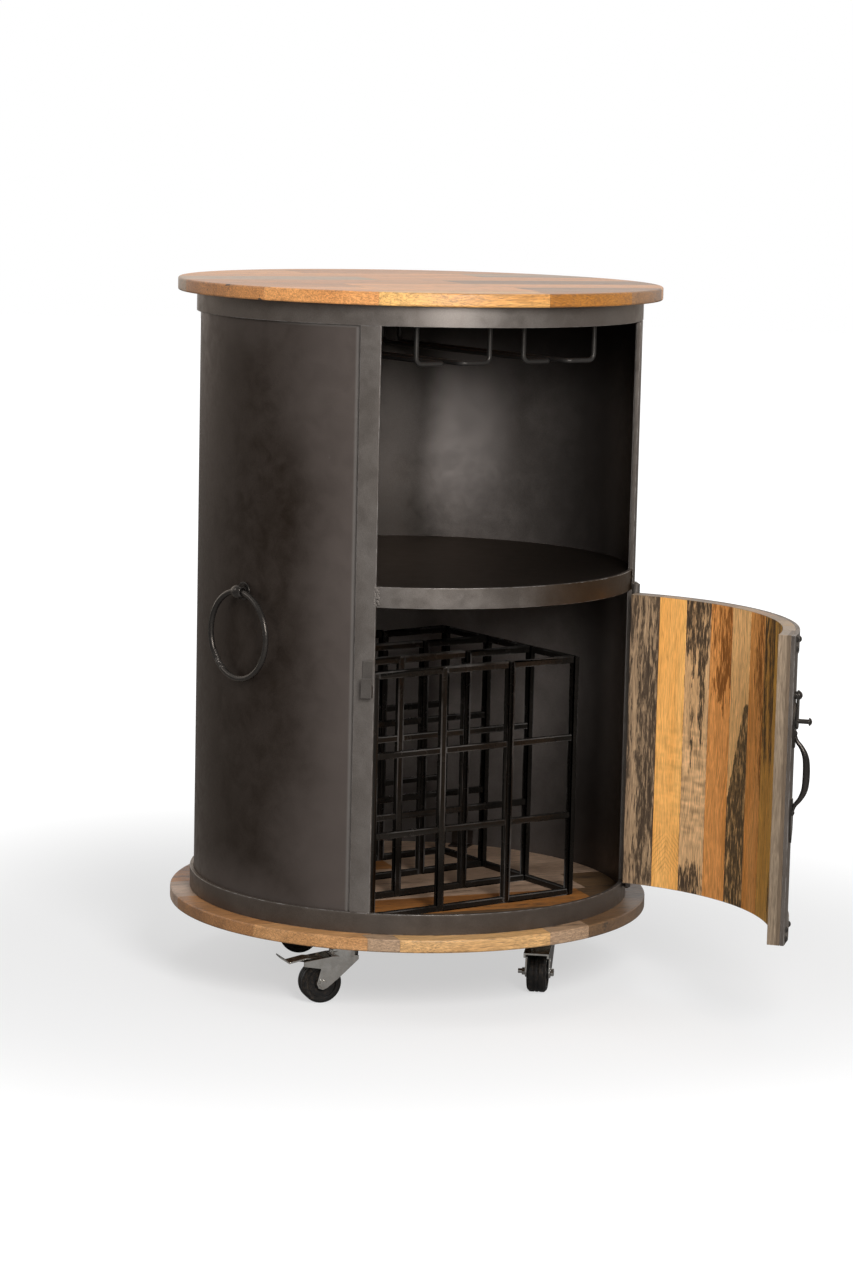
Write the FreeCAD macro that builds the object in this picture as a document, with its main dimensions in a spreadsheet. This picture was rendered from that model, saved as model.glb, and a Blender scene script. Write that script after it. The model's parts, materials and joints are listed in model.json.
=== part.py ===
import FreeCAD, Part
import math
import os
import re
import Sketcher

# Barrel bar cabinet. Millimetres and degrees, +Z up, the front faces -Y, and the origin lies on the
# floor under the drum's axis. Angles round the drum are counted from the front towards +X.

Vector = FreeCAD.Vector
UP = Vector(0, 0, 1)
BACK = Vector(0, 1, 0)
OUT = Vector(0, -1, 0)
SIDE = Vector(1, 0, 0)

doc = FreeCAD.newDocument("BarrelCabinet")
sheet = doc.addObject("Spreadsheet::Sheet", "Sizes")

SIZES = [
    ("top_diameter", 600, "round top board"),
    ("top_thickness", 16, "top board"),
    ("base_diameter", 602, "round base board"),
    ("base_thickness", 16, "base board"),
    ("edge_break", 2.5, "bevel on the edges of both boards"),
    ("board_turn", -13.65, "turn of planks, battens and castors against the front"),
    ("drum_diameter", 553, "outside of the hoops and stiles"),
    ("bar_width", 25, "flat bar of hoops, stiles, shelf band and door frame"),
    ("bar_thickness", 5, "same flat bar"),
    ("skin_thickness", 1.5, "drum sheet"),
    ("skin_setback", 2.5, "sheet edge behind the stile edge"),
    ("opening_angle", 87.3, "front opening between the stiles"),
    ("lower_height", 368, "clear height between bottom hoop and shelf band"),
    ("upper_height", 306, "clear height between shelf band and top hoop"),
    ("shelf_thickness", 3, "shelf sheet"),
    ("shelf_lip", 3, "band edge above the shelf"),
    ("batten_thickness", 22, "wooden batten under the base"),
    ("batten_width", 50, "wooden batten"),
    ("batten_overhang", 22, "batten end beyond the castor"),
    ("tab_width", 30, "angle tab along the drum"),
    ("tab_reach", 25, "angle tab towards the axis"),
    ("tab_rise", 20, "angle tab up the sheet"),
    ("tab_thickness", 2, "angle tab"),
    ("tab_angle_left", -80, "place of the tabs on the left"),
    ("tab_angle_rear", 130, "place of the pairs of tabs behind"),
    ("screw_shank", 4, "wood screws, diameter"),
    ("screw_length", 14, "wood screws, under the head"),
    ("screw_head", 8, "wood screws, head diameter"),
    ("screw_head_rise", 2.5, "wood screws, head height"),
    ("fit_gap", 0.05, "radial gap of a pin or screw in its hole"),
    ("running_gap", 0.3, "gap between faces that move past each other"),
    ("glass_wire", 6, "wire of the glass racks"),
    ("glass_bend", 8, "bend of that wire at its centre line"),
    ("glass_rack_width", 106, "between the legs of one rack"),
    ("glass_gap", 50, "between the two racks"),
    ("glass_foot", 40, "inward foot of each leg"),
    ("glass_front", 185, "front legs before the axis"),
    ("glass_back", 180, "rear legs behind the axis"),
    ("glass_drop", 75, "wire below the top board"),
    ("glass_seat", 10, "leg inside the top board"),
    ("rack_bar", 8, "square bar of the wine rack"),
    ("rack_width", 308, "wine rack"),
    ("rack_depth", 290, "wine rack"),
    ("rack_height", 304, "wine rack"),
    ("door_open_angle", 81, "door in the rest pose, from closed"),
    ("door_gap", 2.5, "above and below the door"),
    ("hinge_gap", 4, "between door and right stile"),
    ("free_gap", 5, "between door and left stile"),
    ("stave_thickness", 15, "door staves"),
    ("stave_joint", 0.2, "gap between staves"),
    ("rivet_head", 8, "door rivets, diameter"),
    ("rivet_rise", 2.6, "door rivets, height"),
    ("rivet_first", 6, "first corner rivet from the door's end"),
    ("rivet_second", 17, "second corner rivet from the door's end"),
    ("hinge_length", 60, "fixed leaf and pin"),
    ("hinge_inset", 20, "hinge centre from the door's end"),
    ("hinge_leaf_width", 22, "leaf from the pin to its far edge"),
    ("hinge_leaf_thickness", 2, "leaf"),
    ("hinge_door_leaf", 36, "height of the door's leaf"),
    ("hinge_knuckle", 9, "knuckle diameter"),
    ("hinge_clearance", 0.8, "leaf edge beyond the knuckle of the other leaf"),
    ("hinge_offset", 5, "pin axis above the bar's face"),
    ("hinge_pin", 4, "pin diameter"),
    ("hinge_button", 6.4, "pin ends, diameter"),
    ("handle_height", 337, "middle of the door handle above the floor"),
    ("handle_bar", 6.5, "round bar of the handle"),
    ("handle_bow", 17.5, "centre line of the bar above the door"),
    ("handle_span", 80, "between the feet of the bow"),
    ("leaf_length", 52, "leaf-shaped ends of the handle"),
    ("leaf_width", 16, "leaf-shaped ends of the handle"),
    ("leaf_thickness", 2, "leaf-shaped ends of the handle"),
    ("leaf_overlap", 10, "leaf under the foot of the bow"),
    ("latch_lift", 2.6, "arm above the door's bar"),
    ("latch_thickness", 2.2, "arm"),
    ("latch_width", 12, "arm"),
    ("latch_reach", 33.5, "arm from pivot to the centre of its round tip"),
    ("latch_clearance", 1, "arm tip above the handle's upper screw"),
    ("latch_pivot", 5, "pivot diameter"),
    ("latch_collar", 9, "collar under the arm, diameter"),
    ("latch_ball", 10.5, "pivot head, diameter"),
    ("latch_ball_rise", 3.6, "pivot head, height"),
    ("knob_distance", 30, "knob from the pivot"),
    ("knob_shank", 5.5, "knob"),
    ("knob_length", 12.5, "knob shank"),
    ("knob_head", 10, "knob head, diameter"),
    ("knob_head_rise", 3.5, "knob head, height"),
    ("catch_width", 13, "catch along the stile's breadth"),
    ("catch_tab_rise", 10, "upper end of the catch's flat tab above the latch pivot"),
    ("catch_lip_drop", 10, "upper edge of the catch's lip below the latch pivot"),
    ("catch_floor_drop", 19, "floor of the catch below the latch pivot"),
    ("catch_bottom_drop", 34, "lower end of the catch below the latch pivot"),
    ("catch_setback", 1, "catch from the stile's edge"),
    ("catch_plate", 2, "catch sheet"),
    ("catch_room", 8.5, "from the stile's face to the lip"),
    ("ring_angle", 83, "ring handles from the front"),
    ("ring_height", 505, "centre of the eyes above the floor"),
    ("ring_diameter", 113, "outside of the ring"),
    ("ring_wire", 7, "ring"),
    ("eye_flange", 22, "foot of the eye, diameter"),
    ("eye_flange_rise", 2, "foot of the eye"),
    ("eye_lug", 17.5, "lug of the eye, diameter"),
    ("eye_lug_width", 16, "lug of the eye"),
    ("eye_hole", 9, "hole of the eye"),
    ("eye_stand", 9, "hole centre above the sheet"),
    ("castor_offset", 131.3, "castor axes from the drum axis along and across the battens"),
    ("castor_height", 70, "floor to the mounting face"),
    ("castor_hole_pitch", 32, "screw holes of the square plate"),
    ("castor_plate_margin", 5, "plate beyond its screw holes"),
    ("castor_plate_thickness", 2.5, "square plate"),
    ("castor_trail", 30, "wheel axle behind the swivel axis"),
    ("wheel_diameter", 50, "castor wheel"),
    ("wheel_width", 24, "castor tyre"),
    ("wheel_hub", 16, "castor hub, diameter"),
    ("tread_middle", 3.6, "middle rib of the tread"),
    ("tread_groove", 1, "depth of the grooves beside it"),
    ("tread_groove_width", 1.6, "width of those grooves"),
    ("wheel_shoulder", 3, "bevel from tread to side"),
    ("tyre_depth", 7, "tyre from the tread inwards"),
    ("wheel_dish", 2, "wheel disc behind the tyre's side"),
    ("axle_diameter", 6, "wheel axle"),
    ("axle_head", 10, "across the corners of axle head and nut"),
    ("axle_head_rise", 4, "axle head and nut"),
    ("axle_tail", 5, "thread beyond the nut"),
    ("fork_inside", 26.5, "between the fork's cheeks"),
    ("fork_sheet", 2.5, "fork sheet"),
    ("fork_crown", 59, "upper face of the fork's crown above the floor"),
    ("fork_housing", 36, "bearing housing, diameter"),
    ("fork_front", 15, "fork sheet before the swivel axis"),
    ("fork_level", 18.5, "level crown behind the swivel axis"),
    ("fork_eye", 7.5, "fork sheet round the axle, radius"),
    ("fork_neck", 2.5, "back edge of the cheeks behind the axle, below the hood"),
    ("fork_flare", 12, "widening of the cheeks before the axle"),
    ("hood_reach", 24, "hood of the cheeks behind the axle"),
    ("hood_top", 53.5, "upper edge of the hood's back end above the floor"),
    ("hood_depth", 6, "back end of the hood"),
    ("hood_foot", 44, "lower edge of the hood beside the axle, above the floor"),
    ("kingpin", 10, "swivel pin, diameter"),
    ("kingpin_head", 15, "head of the swivel pin, diameter"),
    ("kingpin_head_rise", 3.5, "head of the swivel pin"),
    ("pedal_pivot_along", 29, "brake pivot from the swivel axis"),
    ("pedal_pivot_height", 53.5, "brake pivot above the floor"),
    ("pedal_pin", 4, "brake pivot, diameter"),
    ("pedal_tube", 6, "tube of the pedal, diameter"),
    ("pedal_width", 20, "brake pedal"),
    ("pedal_sheet", 2, "brake pedal"),
    ("pedal_length", 54, "brake pedal from its pivot"),
    ("pedal_arch", 1.5, "rise of the pedal over the wheel"),
    ("pedal_dip", 3, "dip of the pedal before its toe"),
    ("pedal_toe", 5, "upturned toe of the pedal"),
    ("heading_front_left", 163, "direction of trail in the rest pose"),
    ("heading_front_right", -133, "direction of trail in the rest pose"),
    ("heading_rear_left", -34.35, "direction of trail in the rest pose"),
    ("heading_rear_right", 100, "direction of trail in the rest pose"),
]

# Levels and radii that follow from the sizes.
DERIVED = [
    ("drum_radius", "=drum_diameter / 2"),
    ("bar_inside", "=drum_radius - bar_thickness"),
    ("skin_inside", "=bar_inside - skin_thickness"),
    ("base_bottom", "=castor_height + batten_thickness"),
    ("base_top", "=base_bottom + base_thickness"),
    ("lower_hoop_top", "=base_top + bar_width"),
    ("band_bottom", "=lower_hoop_top + lower_height"),
    ("band_top", "=band_bottom + bar_width"),
    ("upper_hoop_bottom", "=band_top + upper_height"),
    ("top_bottom", "=upper_hoop_bottom + bar_width"),
    ("door_bottom", "=lower_hoop_top + door_gap"),
    ("door_top", "=band_bottom - door_gap"),
    ("degrees_per_arc", "=180 / pi / drum_radius"),
    ("bar_angle", "=bar_width * degrees_per_arc"),
    ("door_hinge_angle", "=opening_angle / 2 - hinge_gap * degrees_per_arc"),
    ("door_free_angle", "=free_gap * degrees_per_arc - opening_angle / 2"),
    ("door_span", "=door_hinge_angle - door_free_angle"),
    ("pin_angle", "=opening_angle / 2 - hinge_gap / 2 * degrees_per_arc"),
    ("glass_level", "=top_bottom - glass_drop + glass_wire / 2"),
    ("screw_hole", "=screw_shank / 2 + fit_gap"),
    ("handle_screw_spot", "=handle_span / 2 + handle_bar / 3 + screw_head / 2 + running_gap"),
    ("latch_hang", "=latch_reach + latch_width / 2 + latch_clearance"),
    ("latch_over_screw", "=handle_screw_spot + screw_head / 2 + latch_hang"),
    ("latch_over_leaf", "=handle_span / 2 - leaf_overlap + leaf_length + latch_collar / 2 + latch_clearance"),
    ("latch_height", "=handle_height + max(latch_over_screw; latch_over_leaf)"),
    ("castor_plate", "=castor_hole_pitch + 2 * castor_plate_margin"),
    ("fork_outside", "=fork_inside + 2 * fork_sheet"),
    ("wheel_radius", "=wheel_diameter / 2"),
]

for row, (name, number, note) in enumerate(SIZES, start=1):
    sheet.set("A%d" % row, name)
    sheet.set("B%d" % row, "%g" % number)
    sheet.set("C%d" % row, note)
    sheet.setAlias("B%d" % row, name)
for row, (name, formula) in enumerate(DERIVED, start=len(SIZES) + 2):
    sheet.set("A%d" % row, name)
    sheet.set("B%d" % row, formula)
    sheet.setAlias("B%d" % row, name)
doc.recompute()

ALIASES = set([row[0] for row in SIZES] + [row[0] for row in DERIVED])
nodes = {}


def qualify(formula):
    """the formula with every size written as a cell of the sheet"""
    return re.sub(r"[a-z_]+", lambda m: "Sizes." + m.group(0) if m.group(0) in ALIASES else m.group(0), formula)


def value(formula):
    """the number a formula gives with the present sizes"""
    result = sheet.evalExpression(qualify(formula))
    return float(getattr(result, "Value", result))


def bind(item, prop, formula):
    item.setExpression(prop, qualify(formula))


def node(label, item, placement=None):
    """register an object as a sub-part of the cabinet"""
    item.Label = label
    if placement is not None:
        item.Placement = placement
    nodes[label] = item
    return item


def turned(angle):
    return FreeCAD.Placement(Vector(0, 0, 0), FreeCAD.Rotation(UP, angle))


def on_drum(angle, radius, level):
    """local frame on the drum: -Y points outwards, X along the arc, Z up"""
    return turned(angle) * FreeCAD.Placement(Vector(0, -radius, level), FreeCAD.Rotation())


def new_body(name):
    return doc.addObject("PartDesign::Body", name)


def new_sketch(body, role):
    sketch = body.newObject("Sketcher::SketchObject", body.Name + "_sketch")
    plane = [item for item in body.Origin.OriginFeatures if item.Role == role][0]
    sketch.AttachmentSupport = [(plane, "")]
    sketch.MapMode = "FlatFace"
    return sketch


def hold_point(sketch, geometry, position, across, along):
    """dimension one point of a sketch from the sketch's origin"""
    for kind, axis, formula in (("DistanceX", -2, across), ("DistanceY", -1, along)):
        if formula == "0":
            sketch.addConstraint(Sketcher.Constraint("PointOnObject", geometry, position, axis))
        else:
            index = sketch.addConstraint(Sketcher.Constraint(kind, -1, 1, geometry, position, value(formula)))
            bind(sketch, "Constraints[%d]" % index, formula)


def outline(sketch, corners):
    """closed polygon through the corners, each given as a pair of formulas"""
    spots = [Vector(value(across), value(along), 0) for across, along in corners]
    first = sketch.GeometryCount
    count = len(corners)
    for index in range(count):
        sketch.addGeometry(Part.LineSegment(spots[index], spots[(index + 1) % count]))
    for index in range(count):
        following = first + (index + 1) % count
        sketch.addConstraint(Sketcher.Constraint("Coincident", first + index, 2, following, 1))
    for index, (across, along) in enumerate(corners):
        hold_point(sketch, first + index, 1, across, along)


def circle(sketch, across, along, radius):
    centre = Vector(value(across), value(along), 0)
    geometry = sketch.addGeometry(Part.Circle(centre, UP, value(radius)))
    index = sketch.addConstraint(Sketcher.Constraint("Radius", geometry, value(radius)))
    bind(sketch, "Constraints[%d]" % index, radius)
    hold_point(sketch, geometry, 3, across, along)


def revolve(body, corners, angle=None):
    """turn a profile of (radius, level) corners about the body's Z axis"""
    sketch = new_sketch(body, "XZ_Plane")
    outline(sketch, corners)
    feature = body.newObject("PartDesign::Revolution", body.Name + "_turn")
    feature.Profile = sketch
    feature.ReferenceAxis = (sketch, ["V_Axis"])
    feature.Angle = 360
    if angle is not None:
        feature.Midplane = True
        bind(feature, "Angle", angle)
    return feature


def extrude(body, kind, sketch, length, midplane=False, backwards=False):
    """pad or pocket a sketch"""
    feature = body.newObject("PartDesign::" + kind, body.Name + "_" + kind.lower())
    feature.Profile = sketch
    feature.Reversed = backwards
    if midplane:
        feature.SideType = "Symmetric"
    bind(feature, "Length", length)
    return feature


def frame(inner, outer, low, high):
    """corners of a rectangle"""
    return [(inner, low), (outer, low), (outer, high), (inner, high)]


def sector(label, inner, outer, low, high, angle, middle, placement=None):
    """curved bar of the drum, of an angle round its middle"""
    body = new_body(label)
    revolve(body, frame(inner, outer, low, high), angle)
    place = turned(middle - 90)
    if placement is not None:
        place = placement * place
    return node(label, body, place)


def box(x_low, x_high, y_low, y_high, z_low, z_high):
    item = doc.addObject("Part::Box", "Bar")
    bind(item, "Length", "(%s) - (%s)" % (x_high, x_low))
    bind(item, "Width", "(%s) - (%s)" % (y_high, y_low))
    bind(item, "Height", "(%s) - (%s)" % (z_high, z_low))
    item.Placement.Base = Vector(value(x_low), value(y_low), value(z_low))
    return item


def cylinder(radius, height, foot, direction=UP):
    item = doc.addObject("Part::Cylinder", "Round")
    bind(item, "Radius", radius)
    bind(item, "Height", height)
    item.Placement = FreeCAD.Placement(foot, FreeCAD.Rotation(UP, direction))
    return item


def dome(diameter, rise, foot, direction):
    """domed head of a rivet or screw, standing on a face"""
    item = doc.addObject("Part::Sphere", "Dome")
    ball = "((%s) * (%s) / 4 + (%s) * (%s)) / (2 * (%s))" % (diameter, diameter, rise, rise, rise)
    bind(item, "Radius", ball)
    bind(item, "Angle1", "asin(1 - (%s) / (%s))" % (rise, ball))
    spin = FreeCAD.Rotation(UP, direction)
    sink = value(ball) - value(rise)
    item.Placement = FreeCAD.Placement(foot - spin.multVec(UP) * sink, spin)
    return item


def fuse(items):
    joined = doc.addObject("Part::MultiFuse", "Joined")
    joined.Shapes = items
    joined.Refine = True
    return joined


def cut(base, tools):
    result = doc.addObject("Part::Cut", "Shaped")
    result.Base = base
    result.Tool = tools[0] if len(tools) == 1 else fuse(tools)
    result.Refine = True
    return result


def group(items):
    collection = doc.addObject("Part::Compound", "Set")
    collection.Links = items
    return collection


def drum_face(radius):
    """solid cylinder that shapes the seat of a piece on the drum"""
    return cylinder(radius, "top_bottom", Vector(0, 0, 0))


def screw(foot, direction):
    """wood screw whose head stands on the foot point and whose shank runs the other way"""
    head = dome("screw_head", "screw_head_rise", foot, direction)
    shank = cylinder("screw_shank / 2", "screw_length", foot, direction * -1)
    return fuse([head, shank])


# Boards. Each is revolved with bevelled edges and drilled for what is fixed into it.
TAB_ANGLES = [value("tab_angle_left"), -value("tab_angle_rear"), value("tab_angle_rear"), 180]
TAB_HOLE_RADIUS = value("skin_inside - tab_reach * 0.6")
GLASS_RAILS = []
for rack_side in (-1, 1):
    near = rack_side * value("glass_gap / 2")
    far = rack_side * value("glass_gap / 2 + glass_rack_width")
    GLASS_RAILS.append((rack_side, near, rack_side))
    GLASS_RAILS.append((rack_side, far, -rack_side))


def board(label, diameter, low, high, level):
    body = new_body(label)
    rim = diameter + " / 2"
    inset = rim + " - edge_break"
    revolve(body, [("0", low), (inset, low), (rim, low + " + edge_break"), (rim, high + " - edge_break"),
                   (inset, high), ("0", high)])
    holes = new_sketch(body, "XY_Plane")
    for angle in TAB_ANGLES:
        across = TAB_HOLE_RADIUS * math.sin(math.radians(angle))
        along = -TAB_HOLE_RADIUS * math.cos(math.radians(angle))
        circle(holes, "%.6f" % across, "%.6f" % along, "screw_hole")
    extrude(body, "Pocket", holes, "screw_length - tab_thickness + 1", backwards=(low == "0"))
    return node(label, body, FreeCAD.Placement(Vector(0, 0, value(level)), FreeCAD.Rotation()))


top_board = board("top_board", "top_diameter", "0", "top_thickness", "top_bottom")
leg_holes = new_sketch(top_board, "XY_Plane")
for rack_side, leg_x, inward in GLASS_RAILS:
    rail_x = leg_x + inward * value("glass_foot")
    circle(leg_holes, "%.6f" % leg_x, "0 - glass_front", "glass_wire / 2 + fit_gap")
    circle(leg_holes, "%.6f" % rail_x, "glass_back", "glass_wire / 2 + fit_gap")
extrude(top_board, "Pocket", leg_holes, "glass_seat + 0.5", backwards=True)
board("base_board", "base_diameter", "0 - base_thickness", "0", "base_top")

# Castor places, named as they are seen from the front.
CASTORS = {
    "front_left": (-1, -1),
    "front_right": (1, -1),
    "rear_left": (-1, 1),
    "rear_right": (1, 1),
}
BRAKED = ("front_left", "rear_right")
board_frame = turned(value("board_turn"))
screw_spots = [(across, along) for across in (-1, 1) for along in (-1, 1)]


def castor_point(name, level):
    across, along = CASTORS[name]
    reach = value("castor_offset")
    return Vector(across * reach, along * reach, level)


def castor_screw_points(name, level):
    half = value("castor_hole_pitch / 2")
    centre = castor_point(name, level)
    return [centre + Vector(across * half, along * half, 0) for across, along in screw_spots]


battens = []
for across in (-1, 1):
    middle = "%d * castor_offset" % across
    batten = box(middle + " - batten_width / 2", middle + " + batten_width / 2",
                 "0 - castor_offset - batten_overhang", "castor_offset + batten_overhang",
                 "castor_height", "base_bottom")
    pilots = []
    for name in CASTORS:
        if CASTORS[name][0] == across:
            for spot in castor_screw_points(name, value("castor_height")):
                pilots.append(cylinder("screw_hole", "screw_length", spot))
    battens.append(cut(batten, pilots))
node("base_battens", group(battens), board_frame)

# Drum: two hoops, two stiles, the sheet behind them and the shelf with its band.
sector("top_hoop", "bar_inside", "drum_radius", "upper_hoop_bottom", "top_bottom", None, 0)
sector("bottom_hoop", "bar_inside", "drum_radius", "base_top", "lower_hoop_top", None, 0)
stile_middle = value("(opening_angle + bar_angle) / 2")
for label, sign in (("left_stile", -1), ("right_stile", 1)):
    sector(label, "bar_inside", "drum_radius", "lower_hoop_top", "upper_hoop_bottom", "bar_angle",
           sign * stile_middle)
sector("drum_skin", "skin_inside", "bar_inside", "base_top", "top_bottom",
       "360 - opening_angle - 2 * skin_setback * degrees_per_arc", 180)
shelf = new_body("shelf_plate")
revolve(shelf, frame("0", "skin_inside", "band_top - shelf_lip - shelf_thickness", "band_top - shelf_lip"))
node("shelf_plate", shelf)
sector("shelf_band", "skin_inside", "skin_inside + bar_thickness", "band_bottom", "band_top",
       "opening_angle", 0)

# Angle tabs on the inside of the sheet, screwed to the two boards.
tabs = []
tab_screws = []
for level, sign in (("base_top", 1), ("top_bottom", -1)):
    for angle in TAB_ANGLES:
        tab = new_body("Tab")
        thick = "%d * tab_thickness" % sign
        rise = "%d * tab_rise" % sign
        revolve(tab, [("skin_inside - tab_reach", "0"), ("skin_inside", "0"), ("skin_inside", rise),
                      ("skin_inside - tab_thickness", rise), ("skin_inside - tab_thickness", thick),
                      ("skin_inside - tab_reach", thick)], "tab_width * degrees_per_arc")
        hole = new_sketch(tab, "XY_Plane")
        circle(hole, "skin_inside - tab_reach * 0.6", "0", "screw_hole")
        extrude(tab, "Pocket", hole, "tab_thickness * 4", midplane=True)
        tab.Placement = FreeCAD.Placement(Vector(0, 0, value(level)), FreeCAD.Rotation(UP, angle - 90))
        tabs.append(tab)
        foot = on_drum(angle, TAB_HOLE_RADIUS, value(level + " + " + thick)).Base
        tab_screws.append(screw(foot, UP * sign))
node("drum_tabs", group(tabs))
node("tab_screws", group(tab_screws))


# Glass racks: two bent wires each, with their ends in the top board.
def bent_wire(path, bend, wire):
    """round wire along straight runs at right angles, with one bend radius"""
    reach = value(bend)
    parts = []
    last = len(path) - 2
    for index in range(len(path) - 1):
        run = path[index + 1] - path[index]
        direction = Vector(run).normalize()
        start = path[index] + direction * (reach if index > 0 else 0)
        length = run.Length - reach * ((index > 0) + (index < last))
        parts.append(cylinder(wire + " / 2", "%.6f" % length, start, direction))
        if index > 0:
            before = (path[index] - path[index - 1]).normalize()
            elbow = doc.addObject("Part::Torus", "Elbow")
            bind(elbow, "Radius1", bend)
            bind(elbow, "Radius2", wire + " / 2")
            elbow.Angle3 = 90
            spin = FreeCAD.Rotation(direction * -1, before, before.cross(direction), "ZXY")
            centre = path[index] + (direction - before) * reach
            elbow.Placement = FreeCAD.Placement(centre, spin)
            parts.append(elbow)
    return fuse(parts)


glass_racks = {-1: [], 1: []}
for rack_side, leg_x, inward in GLASS_RAILS:
    rail_x = leg_x + inward * value("glass_foot")
    front = value("0 - glass_front")
    back = value("glass_back")
    level = value("glass_level")
    seat = value("top_bottom + glass_seat")
    path = [Vector(leg_x, front, seat), Vector(leg_x, front, level), Vector(rail_x, front, level),
            Vector(rail_x, back, level), Vector(rail_x, back, seat)]
    glass_racks[rack_side].append(bent_wire(path, "glass_bend", "glass_wire"))
node("glass_rack_left", group(glass_racks[-1]))
node("glass_rack_right", group(glass_racks[1]))

# Wine rack: four welded grids of three by three cells, joined along the depth at the corners.
GRID_STEPS = 3


def rack_step(extent, index):
    """start of bar number index along one extent of the rack"""
    return "%d * (%s - rack_bar) / %d" % (index, extent, GRID_STEPS)


def rack_x(index):
    return rack_step("rack_width", index) + " - rack_width / 2"


def rack_y(index):
    return rack_step("rack_depth", index) + " - rack_depth / 2"


def rack_z(index):
    return rack_step("rack_height", index) + " + base_top"


for layer in range(GRID_STEPS + 1):
    front = rack_y(layer)
    bars = []
    for column in range(GRID_STEPS + 1):
        left = rack_x(column)
        bars.append(box(left, left + " + rack_bar", front, front + " + rack_bar",
                        "base_top", "base_top + rack_height"))
    for level in range(GRID_STEPS + 1):
        low = rack_z(level)
        for column in range(GRID_STEPS):
            bars.append(box(rack_x(column) + " + rack_bar", rack_x(column + 1), front, front + " + rack_bar",
                            low, low + " + rack_bar"))
    node("wine_grid_%d" % (layer + 1), group(bars))
rails = []
for column in (0, GRID_STEPS):
    for level in (0, GRID_STEPS):
        left = rack_x(column)
        low = rack_z(level)
        for layer in range(GRID_STEPS):
            rails.append(box(left, left + " + rack_bar", rack_y(layer) + " + rack_bar", rack_y(layer + 1),
                             low, low + " + rack_bar"))
node("wine_rack_rails", group(rails))

# Door hinges. The pin stands outside the gap between door and right stile.
pin_angle = value("pin_angle")
HINGE_LEVELS = [value("door_bottom + hinge_inset"), value("door_top - hinge_inset")]
pin_spot = on_drum(pin_angle, value("drum_radius + hinge_offset"), 0).Base
door_frame = FreeCAD.Placement(Vector(0, 0, 0), FreeCAD.Rotation(UP, value("door_open_angle")), pin_spot)
LEAF_NEAR = "hinge_knuckle / 2 + hinge_clearance"


def hinge_piece(level, sign, leaf_height, knuckles):
    """leaf on one side of the pin with its knuckles, seated on the drum's outside"""
    place = on_drum(pin_angle, value("drum_radius"), level)
    near = LEAF_NEAR if sign > 0 else "0 - hinge_leaf_width"
    far = "hinge_leaf_width" if sign > 0 else "0 - (%s)" % LEAF_NEAR
    half = leaf_height + " / 2"
    parts = [box(near, far, "0 - hinge_leaf_thickness", "hinge_leaf_thickness", "0 - " + half, half)]
    tools = [drum_face("drum_radius")]
    for low, high in knuckles:
        inner = "0" if sign > 0 else "0 - (%s) - 1" % LEAF_NEAR
        outer = LEAF_NEAR + " + 1" if sign > 0 else "0"
        axis_foot = Vector(0, -value("hinge_offset"), value(low))
        parts.append(box(inner, outer, "0 - hinge_leaf_thickness - 0.6", "0 - 0.6", low, high))
        parts.append(cylinder("hinge_knuckle / 2", "(%s) - (%s)" % (high, low), axis_foot))
    for part in parts:
        part.Placement = place * part.Placement
    bore_foot = place.multVec(Vector(0, -value("hinge_offset"), -value("hinge_length")))
    tools.append(cylinder("hinge_pin / 2 + fit_gap", "2 * hinge_length", bore_foot))
    return cut(fuse(parts), tools)


fixed_knuckles = [("0 - hinge_length / 2", "0 - hinge_length / 6"), ("hinge_length / 6", "hinge_length / 2")]
door_knuckle = [("running_gap - hinge_length / 6", "hinge_length / 6 - running_gap")]
node("hinge_leaves_fixed", group([hinge_piece(z, 1, "hinge_length", fixed_knuckles) for z in HINGE_LEVELS]))
door_leaves = group([hinge_piece(z, -1, "hinge_door_leaf", door_knuckle) for z in HINGE_LEVELS])
node("hinge_leaves_door", door_leaves, door_frame)
pins = []
for level in HINGE_LEVELS:
    low = Vector(pin_spot.x, pin_spot.y, level - value("hinge_length / 2"))
    high = low + UP * value("hinge_length")
    pin = cylinder("hinge_pin / 2", "hinge_length", low)
    pins.append(fuse([pin, dome("hinge_button", "2", low, UP * -1), dome("hinge_button", "2", high, UP)]))
node("hinge_pins", group(pins))

# Door: staves inside, a flat-bar frame outside, rivets through the frame and the hinge leaves.
STAVES = 10
stave_step = value("door_span") / STAVES
stave_angle = "door_span / %d - stave_joint * degrees_per_arc" % STAVES
for index in range(STAVES):
    middle = value("door_hinge_angle") - (index + 0.5) * stave_step
    sector("door_stave_%02d" % (index + 1), "bar_inside - stave_thickness", "bar_inside",
           "door_bottom", "door_top", stave_angle, middle, door_frame)
door_middle = value("(door_hinge_angle + door_free_angle) / 2")


def door_bar(low, high, angle, middle):
    body = new_body("DoorBar")
    revolve(body, frame("bar_inside", "drum_radius", low, high), angle)
    body.Placement = turned(middle - 90)
    return body


inner_span = "door_span - 2 * bar_angle"
cross_bars = [door_bar("door_top - bar_width", "door_top", inner_span, door_middle),
              door_bar("door_bottom", "door_bottom + bar_width", inner_span, door_middle)]
node("door_cross_bars", group(cross_bars), door_frame)
hinge_bar_angle = value("door_hinge_angle - bar_angle / 2")
free_bar_angle = value("door_free_angle + bar_angle / 2")
edge_bars = []
for angle in (hinge_bar_angle, free_bar_angle):
    edge_bars.append(door_bar("door_bottom", "door_top", "bar_angle", angle))
node("door_edge_bars", group(edge_bars), door_frame)
rivet_places = []
for inset in ("rivet_first", "rivet_second"):
    rivet_places.append((free_bar_angle, "door_top - " + inset))
    rivet_places.append((free_bar_angle, "door_bottom + " + inset))
for index in range(1, STAVES - 1):
    angle = value("door_hinge_angle") - (index + 0.5) * stave_step
    rivet_places.append((angle, "door_top - bar_width / 2"))
    rivet_places.append((angle, "door_bottom + bar_width / 2"))
rivets = []
for angle, level in rivet_places:
    place = on_drum(angle, value("drum_radius"), value(level))
    rivets.append(dome("rivet_head", "rivet_rise", place.Base, place.Rotation.multVec(OUT)))
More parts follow.
